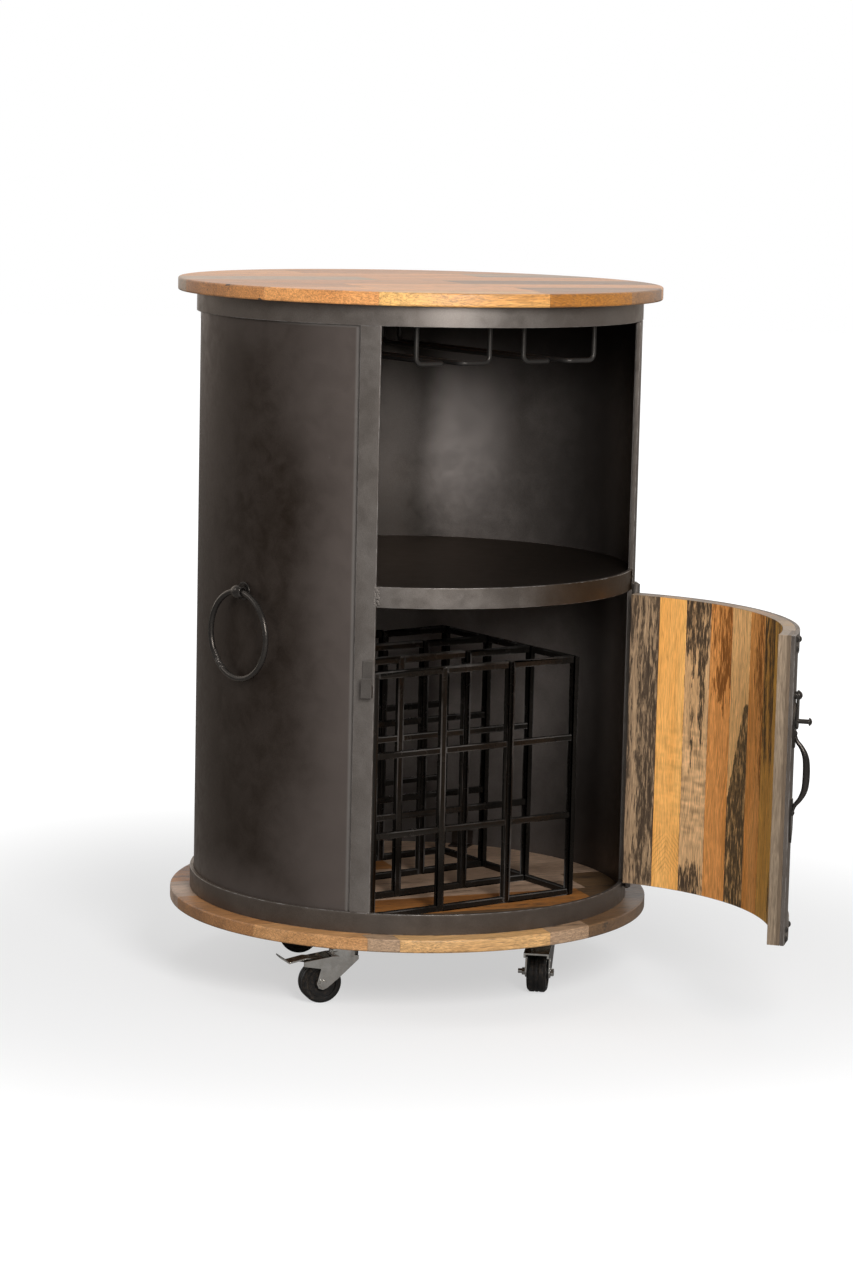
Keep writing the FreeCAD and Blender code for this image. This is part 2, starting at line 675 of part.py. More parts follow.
leaf_middle = -value("(hinge_leaf_width + %s) / 2" % LEAF_NEAR)
for level in HINGE_LEVELS:
    for sign in (1, -1):
        place = on_drum(pin_angle, value("drum_radius + hinge_leaf_thickness"), level)
        foot = place.multVec(Vector(leaf_middle, 0, sign * value("hinge_door_leaf / 3")))
        rivets.append(dome("rivet_head", "rivet_rise", foot, place.Rotation.multVec(OUT)))
node("door_rivets", group(rivets), door_frame)

# Handle: a bowed round bar on two leaf-shaped plates. Its own frame lies on the free bar's face.
handle_place = on_drum(free_bar_angle, value("drum_radius"), value("handle_height"))
handle = new_body("door_handle")
LEAF_SHAPE = [(0.2, 0.0), (0.5, 0.42), (0.42, 0.72), (0.0, 1.0), (-0.42, 0.72), (-0.5, 0.42), (-0.2, 0.0)]
for sign in (1, -1):
    leaf = new_sketch(handle, "XZ_Plane")
    start = "handle_span / 2 - leaf_overlap"
    outline(leaf, [("%g * leaf_width" % across, "%d * (%s + %g * leaf_length)" % (sign, start, along))
                   for across, along in LEAF_SHAPE])
    extrude(handle, "Pad", leaf, "leaf_thickness")
    if sign == 1:
        spine = new_sketch(handle, "YZ_Plane")
        foot = value("handle_bar / 2")
        half = value("handle_span / 2")
        bow = value("handle_bow")
        arc = Part.Arc(Vector(-foot, half, 0), Vector(-bow, 0, 0), Vector(-foot, -half, 0))
        bowed = spine.addGeometry(arc)
        hold_point(spine, bowed, 1, "0 - handle_bar / 2", "handle_span / 2")
        hold_point(spine, bowed, 2, "0 - handle_bar / 2", "0 - handle_span / 2")
        bend = "(handle_span^2 / 4 + (handle_bow - handle_bar / 2)^2) / (2 * handle_bow - handle_bar)"
        index = spine.addConstraint(Sketcher.Constraint("Radius", bowed, value(bend)))
        bind(spine, "Constraints[%d]" % index, bend)
        section = new_sketch(handle, "XY_Plane")
        circle(section, "0", "0 - handle_bow", "handle_bar / 2")
pipe = handle.newObject("PartDesign::AdditivePipe", "Bow")
pipe.Profile = section
pipe.Spine = spine
node("door_handle", handle, door_frame * handle_place)
handle_screws = []
for sign in (1, -1):
    foot = Vector(0, -value("leaf_thickness"), sign * value("handle_screw_spot"))
    handle_screws.append(dome("screw_head", "screw_head_rise", foot, OUT))
node("handle_screws", group(handle_screws), door_frame * handle_place)

# Latch: an arm that swings on a ball-headed rivet in the free bar, and a catch on the left stile.
latch_place = on_drum(free_bar_angle, value("drum_radius"), value("latch_height"))
arm_face = value("latch_lift + latch_thickness")
collar = cylinder("latch_collar / 2", "latch_lift - running_gap", Vector(0, 0, 0), OUT)
shank = cylinder("latch_pivot / 2", "latch_lift + latch_thickness + running_gap", Vector(0, 0, 0), OUT)
ball = dome("latch_ball", "latch_ball_rise", Vector(0, -arm_face - value("running_gap"), 0), OUT)
node("latch_rivet", fuse([collar, shank, ball]), door_frame * latch_place)
arm_foot = Vector(0, -value("latch_lift"), 0)
arm_bar = box("0 - latch_width / 2", "latch_width / 2", "0 - latch_lift - latch_thickness", "0 - latch_lift",
              "0 - latch_reach", "0")
arm_end = cylinder("latch_width / 2", "latch_thickness", arm_foot, OUT)
arm_tip = cylinder("latch_width / 2", "latch_thickness", arm_foot - UP * value("latch_reach"), OUT)
knob_foot = Vector(0, -arm_face, -value("knob_distance"))
knob_shank = cylinder("knob_shank / 2", "knob_length", knob_foot, OUT)
knob_head = dome("knob_head", "knob_head_rise", knob_foot + OUT * value("knob_length"), OUT)
hole_foot = arm_foot - OUT * value("latch_thickness")
pivot_hole = cylinder("latch_pivot / 2 + fit_gap", "latch_thickness * 3", hole_foot, OUT)
arm = cut(fuse([arm_bar, arm_end, arm_tip, knob_shank, knob_head]), [pivot_hole])
node("latch_arm", arm, door_frame * latch_place)

catch_angle = -value("opening_angle / 2 + (catch_width / 2 + catch_setback) * degrees_per_arc")
catch_floor = "latch_height - catch_floor_drop"
half_catch = "catch_width / 2"
stand = "catch_room + catch_plate"
catch_tab = box("0 - " + half_catch, half_catch, "0 - catch_plate", "catch_plate", catch_floor,
                "latch_height + catch_tab_rise")
catch_seat = box("0 - " + half_catch, half_catch, "0 - (%s)" % stand, "catch_plate",
                 "latch_height - catch_bottom_drop", catch_floor)
catch_lip = box("0 - " + half_catch, half_catch, "0 - (%s)" % stand, "0 - catch_room", catch_floor,
                "latch_height - catch_lip_drop")
catch_pieces = [catch_tab, catch_seat, catch_lip]
for piece in catch_pieces:
    piece.Placement = on_drum(catch_angle, value("drum_radius"), 0) * piece.Placement
node("latch_catch", cut(fuse(catch_pieces), [drum_face("drum_radius")]))

# Ring handles: a closed ring hanging in a forged eye on each side of the drum.
eyes = []
for label, sign in (("ring_left", -1), ("ring_right", 1)):
    place = on_drum(sign * value("ring_angle"), value("bar_inside"), value("ring_height"))
    flange = cylinder("eye_flange / 2", "eye_flange_rise + 1", Vector(0, 1, 0), OUT)
    lug_foot = Vector(-value("eye_lug_width / 2"), -value("eye_stand"), 0)
    lug = cylinder("eye_lug / 2", "eye_lug_width", lug_foot, SIDE)
    hole = cylinder("eye_hole / 2", "eye_lug_width * 3", lug_foot - SIDE * value("eye_lug_width"), SIDE)
    for piece in (flange, lug, hole):
        piece.Placement = place * piece.Placement
    eyes.append(cut(fuse([flange, lug]), [hole, drum_face("bar_inside")]))
    ring = doc.addObject("Part::Torus", "Ring")
    bind(ring, "Radius1", "(ring_diameter - ring_wire) / 2")
    bind(ring, "Radius2", "ring_wire / 2")
    hang = Vector(0, -value("eye_stand"), -value("(ring_diameter - ring_wire) / 2"))
    node(label, ring, place * FreeCAD.Placement(hang, FreeCAD.Rotation(UP, OUT)))
node("ring_eyes", group(eyes))

# Castors. Each has its own frame on the floor under its swivel axis, with the wheel trailing along X.
AXLE = ("castor_trail", "wheel_radius")
plates = []
castor_screws = []
for name in CASTORS:
    centre = castor_point(name, 0)
    mount = value("castor_height")
    underside = mount - value("castor_plate_thickness")
    half = "castor_plate / 2"
    plate = box("0 - " + half, half, "0 - " + half, half,
                "castor_height - castor_plate_thickness", "castor_height")
    plate.Placement.Base = plate.Placement.Base + centre
    pin_low = "fork_crown - fork_sheet - running_gap"
    pin_foot = centre + UP * value(pin_low)
    pin = cylinder("kingpin / 2", "castor_height - castor_plate_thickness - (%s)" % pin_low, pin_foot)
    head_foot = pin_foot - UP * value("kingpin_head_rise")
    pin_head = cylinder("kingpin_head / 2", "kingpin_head_rise", head_foot)
    spots = castor_screw_points(name, underside)
    holes = [cylinder("screw_hole", "castor_plate_thickness * 2", spot) for spot in spots]
    plates.append(cut(fuse([plate, pin, pin_head]), holes))
    castor_screws += [screw(spot, UP * -1) for spot in spots]
node("castor_plates", group(plates), board_frame)
node("castor_screws", group(castor_screws), board_frame)


def fork_body(label, braked):
    body = new_body(label)
    cheek = new_sketch(body, "XZ_Plane")
    trail, axle_level = AXLE
    eye_corner = "fork_eye * sqrt(2) / 2"
    below = axle_level + " - " + eye_corner
    hood_back = trail + " + hood_reach"
    outline(cheek, [("0 - fork_front", "fork_crown"), ("fork_level", "fork_crown"), (hood_back, "hood_top"),
                    (hood_back, "hood_top - hood_depth"), (trail + " + fork_neck", "hood_foot"),
                    (trail + " + fork_eye", axle_level), (trail + " + " + eye_corner, below),
                    (trail, axle_level + " - fork_eye"), (trail + " - " + eye_corner, below),
                    (trail + " - fork_eye - fork_flare", axle_level + " + fork_flare / 2"),
                    ("0 - fork_front", "fork_crown - fork_sheet * 2")])
    extrude(body, "Pad", cheek, "fork_outside", midplane=True)
    slot = new_sketch(body, "XZ_Plane")
    before, behind = "0 - castor_height", "castor_trail + castor_height"
    under_crown = "fork_crown - fork_sheet"
    if braked:
        roof = [(behind, "castor_height"), ("fork_level", "castor_height"), ("fork_level", under_crown)]
    else:
        roof = [(behind, "hood_top - fork_sheet"), (hood_back, "hood_top - fork_sheet"), ("fork_level", under_crown)]
    outline(slot, [(before, "0"), (behind, "0")] + roof + [(before, under_crown)])
    extrude(body, "Pocket", slot, "fork_inside", midplane=True)
    bore = "kingpin / 2 + fit_gap"
    housing_top = "castor_height - castor_plate_thickness - running_gap"
    revolve(body, frame(bore, "fork_housing / 2", "fork_crown - fork_sheet / 2", housing_top))
    swivel_hole = new_sketch(body, "XY_Plane")
    circle(swivel_hole, "0", "0", bore)
    extrude(body, "Pocket", swivel_hole, "castor_height * 3", midplane=True)
    axle_hole = new_sketch(body, "XZ_Plane")
    circle(axle_hole, trail, axle_level, "axle_diameter / 2 + fit_gap")
    extrude(body, "Pocket", axle_hole, "fork_outside * 2", midplane=True)
    if braked:
        cross_pin = new_sketch(body, "XZ_Plane")
        circle(cross_pin, "pedal_pivot_along", "pedal_pivot_height", "pedal_pin / 2")
        extrude(body, "Pad", cross_pin, "fork_outside", midplane=True)
    return body


def wheel_body(label):
    """wheel turned about its own axis, with a tread of three ribs"""
    body = new_body(label)
    side = "wheel_width / 2"
    hub_side = "fork_inside / 2 - running_gap"
    disc_side = side + " - wheel_dish"
    groove = "wheel_radius - tread_groove"
    slope = "tread_groove_width / 4"
    far = "tread_middle / 2 + tread_groove_width"
    half = [("wheel_radius", "tread_middle / 2"), (groove, "tread_middle / 2 + " + slope),
            (groove, far + " - " + slope), ("wheel_radius", far), ("wheel_radius", side + " - wheel_shoulder"),
            ("wheel_radius - wheel_shoulder", side), ("wheel_radius - tyre_depth", side),
            ("wheel_radius - tyre_depth - wheel_dish / 2", disc_side),
            ("wheel_hub / 2 + wheel_dish / 2", disc_side),
            ("wheel_hub / 2", hub_side), ("axle_diameter / 2 + fit_gap", hub_side)]
    mirrored = [(radius, "0 - (%s)" % level) for radius, level in reversed(half)]
    revolve(body, half + mirrored)
    return body


def axle_item():
    """bolt and nut through the fork, along Y, with the thread's end beyond the nut"""
    reach = value("fork_outside / 2")
    rise = value("axle_head_rise")
    start = BACK * -(reach + rise + value("axle_tail"))
    bolt = cylinder("axle_diameter / 2", "fork_outside + axle_head_rise * 1.5 + axle_tail", start, BACK)
    ends = []
    for foot in (-reach - rise, reach):
        end = doc.addObject("Part::Prism", "Hexagon")
        end.Polygon = 6
        bind(end, "Circumradius", "axle_head / 2")
        bind(end, "Height", "axle_head_rise")
        end.Placement = FreeCAD.Placement(BACK * foot, FreeCAD.Rotation(UP, BACK))
        ends.append(end)
    return fuse([bolt] + ends)


def pedal_body(label):
    """bent sheet with a tube on its pivot and an upturned toe, in a frame on the pivot"""
    body = new_body(label)
    tube = new_sketch(body, "XZ_Plane")
    circle(tube, "0", "0", "pedal_tube / 2")
    extrude(body, "Pad", tube, "fork_inside - 2 * running_gap", midplane=True)
    plate = new_sketch(body, "XZ_Plane")
    sheet_line = [("0", "0"), ("pedal_length * 0.4", "pedal_arch"), ("pedal_length * 0.78", "0 - pedal_dip"),
                  ("pedal_length", "pedal_toe")]
    lower = [(across, along) for across, along in sheet_line]
    upper = [(across, along + " + pedal_sheet") for across, along in reversed(sheet_line)]
    outline(plate, lower + upper)
    extrude(body, "Pad", plate, "pedal_width", midplane=True)
    bore = new_sketch(body, "XZ_Plane")
    circle(bore, "0", "0", "pedal_pin / 2 + fit_gap")
    extrude(body, "Pocket", bore, "fork_outside * 2", midplane=True)
    return body


for name in CASTORS:
    spot = board_frame.multVec(castor_point(name, 0))
    castor_frame = FreeCAD.Placement(spot, FreeCAD.Rotation(UP, value("heading_" + name)))
    axle_spot = FreeCAD.Placement(Vector(value(AXLE[0]), 0, value(AXLE[1])), FreeCAD.Rotation())
    node("fork_" + name, fork_body("fork_" + name, name in BRAKED), castor_frame)
    node("axle_" + name, axle_item(), castor_frame * axle_spot)
    lying = FreeCAD.Placement(Vector(0, 0, 0), FreeCAD.Rotation(UP, BACK))
    node("wheel_" + name, wheel_body("wheel_" + name), castor_frame * axle_spot * lying)
    if name in BRAKED:
        pivot = Vector(value("pedal_pivot_along"), 0, value("pedal_pivot_height"))
        pedal_place = castor_frame * FreeCAD.Placement(pivot, FreeCAD.Rotation())
        node("brake_" + name, pedal_body("brake_" + name), pedal_place)

doc.recompute()

for item in doc.Objects:
    if "Invalid" in item.State or "Error" in item.State:
        raise RuntimeError("%s did not compute: %s" % (item.Label, item.State))
os.makedirs("parts", exist_ok=True)
for label, item in nodes.items():
    shape = item.Shape
    if shape.isNull() or not shape.isValid() or not shape.Solids:
        raise RuntimeError("%s has no valid solid" % label)
    shape.exportStep("parts/%s.step" % label)
    size_text = "%.1f x %.1f x %.1f" % (shape.BoundBox.XLength, shape.BoundBox.YLength, shape.BoundBox.ZLength)
    print(label, len(shape.Solids), "solids", size_text, "volume %.0f" % shape.Volume)
print(len(nodes), "sub-parts written")
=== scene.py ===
import json
import math
import random

import bmesh
import bpy
from bpy.props import FloatProperty, FloatVectorProperty, PointerProperty
from bpy.types import Operator, Panel, PropertyGroup
from mathutils import Matrix, Vector

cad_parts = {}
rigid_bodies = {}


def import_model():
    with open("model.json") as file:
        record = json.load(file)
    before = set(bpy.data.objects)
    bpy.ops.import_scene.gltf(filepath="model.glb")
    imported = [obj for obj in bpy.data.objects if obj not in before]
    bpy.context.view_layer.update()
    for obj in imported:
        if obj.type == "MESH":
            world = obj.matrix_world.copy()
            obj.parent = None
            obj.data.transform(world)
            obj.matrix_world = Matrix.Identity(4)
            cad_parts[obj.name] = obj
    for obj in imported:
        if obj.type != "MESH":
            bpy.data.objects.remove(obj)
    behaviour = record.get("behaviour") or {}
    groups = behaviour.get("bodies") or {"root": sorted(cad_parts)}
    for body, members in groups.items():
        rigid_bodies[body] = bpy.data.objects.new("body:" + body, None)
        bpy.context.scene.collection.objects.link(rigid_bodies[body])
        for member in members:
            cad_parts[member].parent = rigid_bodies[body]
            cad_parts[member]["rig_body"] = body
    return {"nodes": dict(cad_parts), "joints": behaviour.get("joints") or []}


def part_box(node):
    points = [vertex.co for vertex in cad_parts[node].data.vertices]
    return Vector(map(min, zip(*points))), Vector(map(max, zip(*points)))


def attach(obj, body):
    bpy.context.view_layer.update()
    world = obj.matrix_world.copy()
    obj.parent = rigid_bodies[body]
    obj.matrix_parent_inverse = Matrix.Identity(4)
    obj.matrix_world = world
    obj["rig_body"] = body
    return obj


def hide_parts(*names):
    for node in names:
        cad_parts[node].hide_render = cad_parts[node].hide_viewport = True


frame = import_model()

bl_info = {
    "name": "Barrel bar cabinet",
    "version": (1, 0, 0),
    "blender": (4, 5, 0),
    "location": "3D View > Sidebar > Barrel",
    "description": "Dresses a drum bar cabinet with its planks, staves, steel and stage",
    "category": "Object",
}

NODES = frame["nodes"]
JOINTS = {joint["name"]: joint for joint in frame["joints"]}
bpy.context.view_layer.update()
DRUM_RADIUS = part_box("top_hoop")[1].x
STAVES = ["door_stave_%02d" % number for number in range(1, 11)]
STAVE_HALF = 0.0205
DOOR_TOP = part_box("door_stave_01")[1].z
DOOR_TALL = DOOR_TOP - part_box("door_stave_01")[0].z
CASTORS = ("front_left", "front_right", "rear_left", "rear_right")
SIDES = ("left", "right")

# Corners nearer than JOIN are one corner. Faces that meet at less than FLAT become one face, edges over
# ROUNDED get a bevel, and edges over SHARP stay sharp in the shading.
JOIN = 2e-6
FLAT = math.radians(0.4)
ROUNDED = math.radians(35)
SHARP = math.radians(48)

# Sides of a round board, and the seams that lie in front of the one that plank_start names.
BOARD_SIDES = 240
SEAMS_BEFORE = 3
# How worn a rounded edge counts: a seam or bar wholly, the rim of a board by half.
WORN, HALF_WORN = 1.0, 0.5

# Strength of the bump in wood and in steel, and the half width and half height of a knot.
WOOD_BUMP, STEEL_BUMP = 0.5, 0.35
KNOT = (0.004, 1, 0.009)

# The closing weld of a ring, in degrees from its lowest point towards the back, and its lumps.
RING_WELD = (32, 62)
RING_LUMPS = 10

SENSOR = 36
FLOOR_RADIUS = 14
# Name, diameter and place of each lamp, and the spot they all point at.
LAMPS = (("key", 0.9, (-0.75, -2.17, 1.32)), ("rim", 1.4, (-3.0, 1.3, 2.1)), ("top", 2.0, (0.3, 0.2, 3.2)))
LAMP_AIM = Vector((0, 0, 0.5))


def closed_door():
    """Turns the door from its open rest place back onto the drum."""
    hinge = JOINTS["door_hinge"]
    pin = Vector(hinge["pos_m"])
    swing = Matrix.Rotation(math.radians(hinge["range_deg"][0]), 4, "Z")
    return Matrix.Translation(pin) @ swing @ Matrix.Translation(-pin)


DOOR_CLOSED = closed_door()


def colour(name, description, default):
    return FloatVectorProperty(name=name, description=description, default=default, size=3, min=0, max=1,
                               subtype="COLOR")


def length(name, description, default):
    return FloatProperty(name=name, description=description, default=default, unit="LENGTH", precision=5)


def angle(name, description, degrees):
    return FloatProperty(name=name, description=description, default=math.radians(degrees), subtype="ANGLE")


def amount(name, description, default, unit="NONE"):
    return FloatProperty(name=name, description=description, default=default, min=0, unit=unit)


class BarrelWood(PropertyGroup):
    """Sizes and colours of boards and staves."""

    board_turn: angle("Board turn", "Turn of the planks against the front", -13.65)
    plank_width: length("Plank width", "Width of one plank of a board", 0.084)
    plank_start: length("First seam", "A seam of the boards, from the axis towards the back", 0.011)
    board_edge: length("Board edge", "Rounding of the rim of a board", 0.0022)
    seam_edge: length("Seam edge", "Bevel along a glued seam", 0.0003)
    stave_edge: length("Stave edge", "Rounding along the edges of a stave", 0.0005)
    honey: colour("Honey", "Light mango wood", (0.80, 0.44, 0.135))
    umber: colour("Dark streak", "Dark streaks in the wood", (0.070, 0.046, 0.029))
    taupe: colour("Grey wood", "Weathered grey brown wood", (0.30, 0.225, 0.16))


class BarrelSteel(PropertyGroup):
    """Sizes and colours of the metal pieces."""

    bar_edge: length("Bar edge", "Rounding along flat bar", 0.0007)
    rack_edge: length("Rack edge", "Rounding along the square bar of the wine rack", 0.0013)
    sheet_edge: length("Sheet edge", "Rounding along pressed sheet", 0.0005)
    leaf_thick: length("Leaf thickness", "Leaf-shaped ends of the door handle", 0.0021)
    eye_reach: length("Eye reach", "How far from its hole an eye swells", 0.0128)
    eye_hole: length("Eye hole", "Radius inside which an eye keeps its hole", 0.0065)
    weld_size: length("Weld size", "Half the breadth of a weld lump", 0.0016)
    gunmetal: colour("Gunmetal", "Waxed flat bar", (0.122, 0.106, 0.094))
    # bar_pale also paints the highlight along the drum sheet's edges by the stile.
    bar_pale: colour("Bar bloom", "Paler clouds on the flat bar", (0.19, 0.172, 0.158))
    wax: colour("Wax", "Warm tint of the waxed gloss", (1.0, 0.84, 0.70))
    # bare also paints the glints along the wine rack's edges.
    bare: colour("Bare steel", "Steel where an edge is rubbed bright", (0.30, 0.28, 0.265))
    drum: colour("Drum", "Darkened sheet of the drum", (0.023, 0.0158, 0.0115))
    # drum_pale also paints the sheen of the drum's borders and of its left side.
    drum_pale: colour("Drum border", "Lighter border of the drum sheet", (0.128, 0.105, 0.094))
    lining: colour("Lining", "Grey paint inside the drum", (0.120, 0.104, 0.094))
    # lining_pale also paints the pool of light inside the drum.
    lining_pale: colour("Lining bloom", "Paler bloom inside the drum", (0.32, 0.285, 0.265))
    shelf: colour("Shelf", "Dark sheet of the shelf", (0.016, 0.0125, 0.0105))
    black: colour("Rack black", "Black paint of the wine rack", (0.0075, 0.0065, 0.0055))
    wire: colour("Wire", "Wire of the glass racks", (0.032, 0.030, 0.028))
    iron: colour("Forged iron", "Blackened forged pieces", (0.024, 0.0215, 0.020))
    zinc: colour("Zinc", "Plated castor parts", (0.68, 0.66, 0.62))
    rubber: colour("Rubber", "Castor tyres", (0.009, 0.0085, 0.008))


class BarrelStage(PropertyGroup):
    """Camera, light and floor."""

    distance: length("Camera distance", "Camera from the drum's axis along the floor", 4.3374)
    height: length("Camera height", "Camera above the floor", 1.0754)
    azimuth: angle("Camera azimuth", "Camera to the left of the front", 34.35)
    pitch: angle("Camera pitch", "Camera tilt below the horizon", 8.551)
    yaw: angle("Camera yaw", "Camera turn to its right, away from the axis", 0.225)
    roll: angle("Camera roll", "Camera tilt about its line of sight", 1.316)
    lens: amount("Lens", "Focal length on a 36 mm frame", 98.08, "CAMERA")
    ambient: amount("Ambient", "Strength of the even light", 0.36)
    room: amount("Room", "Room before the object, as metal mirrors it", 0.3)
    key: amount("Key", "Front light", 52, "POWER")
    rim: amount("Rim", "Light at the back left", 13, "POWER")
    top: amount("Top", "Light overhead", 14, "POWER")
    floor: colour("Floor", "Pale floor", (0.38, 0.38, 0.38))


class Wiring:
    """Adds nodes to a node tree and links them. Most calls give back an output socket."""

    def __init__(self, tree):
        self.tree = tree

    def feed(self, socket, source):
        if isinstance(source, bpy.types.NodeSocket):
            self.tree.links.new(source, socket)
        elif socket.type == "RGBA":
            socket.default_value = (*source[:3], 1)
        else:
            socket.default_value = source

    def add(self, kind, sources=None, **settings):
        node = self.tree.nodes.new("ShaderNode" + kind)
        for name, setting in settings.items():
            setattr(node, name, setting)
        for name, source in (sources or {}).items():
            self.feed(node.inputs[name], source)
        return node

    def math(self, operation, *terms):
        return self.add("Math", dict(enumerate(terms)), operation=operation).outputs[0]

    def plus(self, first, second):
        return self.math("ADD", first, second)

    def minus(self, first, second):
        return self.math("SUBTRACT", first, second)

    def times(self, first, second):
        return self.math("MULTIPLY", first, second)

    def times_plus(self, value, factor, extra):
        return self.math("MULTIPLY_ADD", value, factor, extra)

    def most(self, first, second):
        return self.math("MAXIMUM", first, second)

    def vector(self, operation, *terms):
        return self.add("VectorMath", dict(enumerate(terms)), operation=operation).outputs

    def stretch(self, vector, factors):
        return self.vector("MULTIPLY", vector, factors)[0]

    def shift(self, vector, step):
        return self.vector("ADD", vector, step)[0]

    def length(self, vector):
        return self.vector("LENGTH", vector)["Value"]

    def scaled(self, vector, factor):
        return self.add("VectorMath", {0: vector, "Scale": factor}, operation="SCALE").outputs[0]

    def mix(self, factor, first, second, blend="MIX"):
        sources = {0: factor, 6: first, 7: second}
        return self.add("Mix", sources, data_type="RGBA", blend_type=blend).outputs[2]

    def blend(self, factor, first, second):
        """Goes from one number to another."""
        return self.add("Mix", {0: factor, 2: first, 3: second}, data_type="FLOAT").outputs[0]

    def noise(self, vector, scale, detail=2.0, roughness=0.5, distortion=0.0):
        values = {"Vector": vector, "Scale": scale, "Detail": detail, "Roughness": roughness,
                  "Distortion": distortion}
        return self.add("TexNoise", values).outputs[0]

    def wobble(self, vector, reach, scale, detail, roughness=0.5):
        """Noise to both sides of zero."""
        return self.times(self.minus(self.noise(vector, scale, detail, roughness), 0.5), reach)

    def span(self, value, low, high, start=0.0, stop=1.0):
        """Smooth step from start to stop while the value goes from low to high."""
        values = {"Value": value, "From Min": low, "From Max": high, "To Min": start, "To Max": stop}
        return self.add("MapRange", values, interpolation_type="SMOOTHSTEP").outputs[0]

    def window(self, value, low, low_full, high_full, high):
        """Rises to 1 from low to low_full and falls again from high_full to high."""
        return self.times(self.span(value, low, low_full), self.span(value, high_full, high, 1, 0))

    def parts(self, vector):
        return self.add("SeparateXYZ", {0: vector}).outputs

    def join(self, x, y, z):
        return self.add("CombineXYZ", {0: x, 1: y, 2: z}).outputs[0]

    def attribute(self, name):
        return self.add("Attribute", attribute_name=name).outputs

    def place(self):
        """Object coordinates, in metres."""
        return self.add("TexCoord").outputs["Object"]

    def use(self, group, **sources):
        node = self.add("Group")
        node.node_tree = group
        for name, source in sources.items():
            self.feed(node.inputs[name], source)
        return node.outputs


def shared_group(name, outputs, **inputs):
    """Turns a function that wires a node group into one that gives the group, wired at its first use.

    An input is a vector if its default is None, a colour if it is a tuple, and else a number. The output
    named Color is a colour, and the others are numbers.
    """
    def decorate(wire):
        def give():
            if name in bpy.data.node_groups:
                return bpy.data.node_groups[name]
            tree = bpy.data.node_groups.new(name, "ShaderNodeTree")
            for label, default in inputs.items():
                kind = "Vector" if default is None else "Color" if isinstance(default, tuple) else "Float"
                socket = tree.interface.new_socket(label, in_out="INPUT", socket_type="NodeSocket" + kind)
                if default is not None:
                    socket.default_value = (*default, 1) if kind == "Color" else default
            for label in outputs:
                kind = "Color" if label == "Color" else "Float"
                tree.interface.new_socket(label, in_out="OUTPUT", socket_type="NodeSocket" + kind)
            given = tree.nodes.new("NodeGroupInput").outputs
            result = tree.nodes.new("NodeGroupOutput").inputs
            wire(Wiring(tree), given, result)
            return tree
        return give
    return decorate


@shared_group("Mango figure", ("Color", "Roughness", "Height"), Vector=None, Light=(0.7, 0.4, 0.15),
              Mid=(0.5, 0.25, 0.09), Dark=(0.07, 0.05, 0.04), Streak=0.3, Heart=0.0, Line=0.0, Ripple=0.0,
              Fleck=0.5, Seed=0.0)
def mango_figure(w, given, result):
    """Wood with its grain along Z: fibre, pores, growth lines, ripple and dark streaks."""
    spot = w.shift(given["Vector"], w.scaled((0.37, 0.61, 0.83), given["Seed"]))
    lay = w.shift(w.stretch(spot, (1, 1, 0.06)), w.join(w.wobble(spot, 0.035, 6, 1), 0, 0))
    fibre = w.noise(lay, 520, 3, 0.65)
    thread = w.noise(w.stretch(spot, (1, 1, 0.09)), 760, 2, 0.6)
    grit = w.noise(w.stretch(spot, (1, 1, 0.13)), 400, 3, 0.7)
    bands = w.noise(lay, 55, 3, 0.55, 0.4)
    tone = w.span(w.noise(lay, 22, 2), 0.35, 0.65)
    pores = w.span(w.noise(w.stretch(spot, (1, 1, 0.06)), 1150, 1), 0.58, 0.68)
    lines = w.span(w.math("PINGPONG", w.times(bands, 9), 0.5), 0.0, 0.16, 1, 0)
    cover = w.times_plus(w.minus(given["Streak"], 0.5), 0.7, w.noise(lay, 34, 5, 0.68, 0.7))
    streak = w.span(w.plus(cover, given["Heart"]), 0.45, 0.64)
    frayed = w.times_plus(w.minus(grit, 0.5), 3.4, w.times(streak, 0.78))
    streak = w.times(w.span(frayed, 0.15, 0.85), w.span(streak, 0.0, 0.2))
    base = w.mix(tone, given["Light"], given["Mid"])
    base = w.mix(w.times_plus(lines, 0.24, given["Line"]), base, given["Dark"])
    base = w.mix(streak, base, given["Dark"])
    wave = w.minus(w.noise(w.stretch(spot, (1, 1, 2.4)), 52, 1), 0.5)
    dim = w.times_plus(given["Fleck"], -0.7, 1.0)
    bright = w.times_plus(given["Fleck"], 0.5, 1.0)
    light = w.times_plus(w.times(wave, given["Ripple"]), 1.6, w.span(fibre, 0.25, 0.75, dim, bright))
    light = w.times(light, w.span(thread, 0.3, 0.7, 0.86, 1.12))
    base = w.mix(1.0, base, light, "MULTIPLY")
    fleck = w.times(pores, given["Fleck"])
    w.feed(result["Color"], w.mix(fleck, base, given["Dark"]))
    w.feed(result["Roughness"], w.plus(w.span(fibre, 0.3, 0.7, 0.40, 0.54), w.times(fleck, 0.2)))
    w.feed(result["Height"], w.minus(w.times(fibre, 0.5), w.times(fleck, 0.6)))


@shared_group("Heart patch", ("Mask",), Vector=None, Centre=None, Reach=None, Amount=0.2)
def heart_patch(w, given, result):
    """Ragged oval on grain coordinates, for darker or paler wood."""
    away = w.vector("SUBTRACT", given["Vector"], given["Centre"])[0]
    away = w.vector("DIVIDE", away, given["Reach"])[0]
    far = w.length(w.stretch(away, (1, 0, 1)))
    ragged = w.minus(w.noise(w.stretch(given["Vector"], (1, 1, 0.15)), 190, 4, 0.65), 0.5)
    edge = w.span(w.times_plus(ragged, 1.3, far), 0.72, 1.12, 1, 0)
    w.feed(result["Mask"], w.times(edge, given["Amount"]))


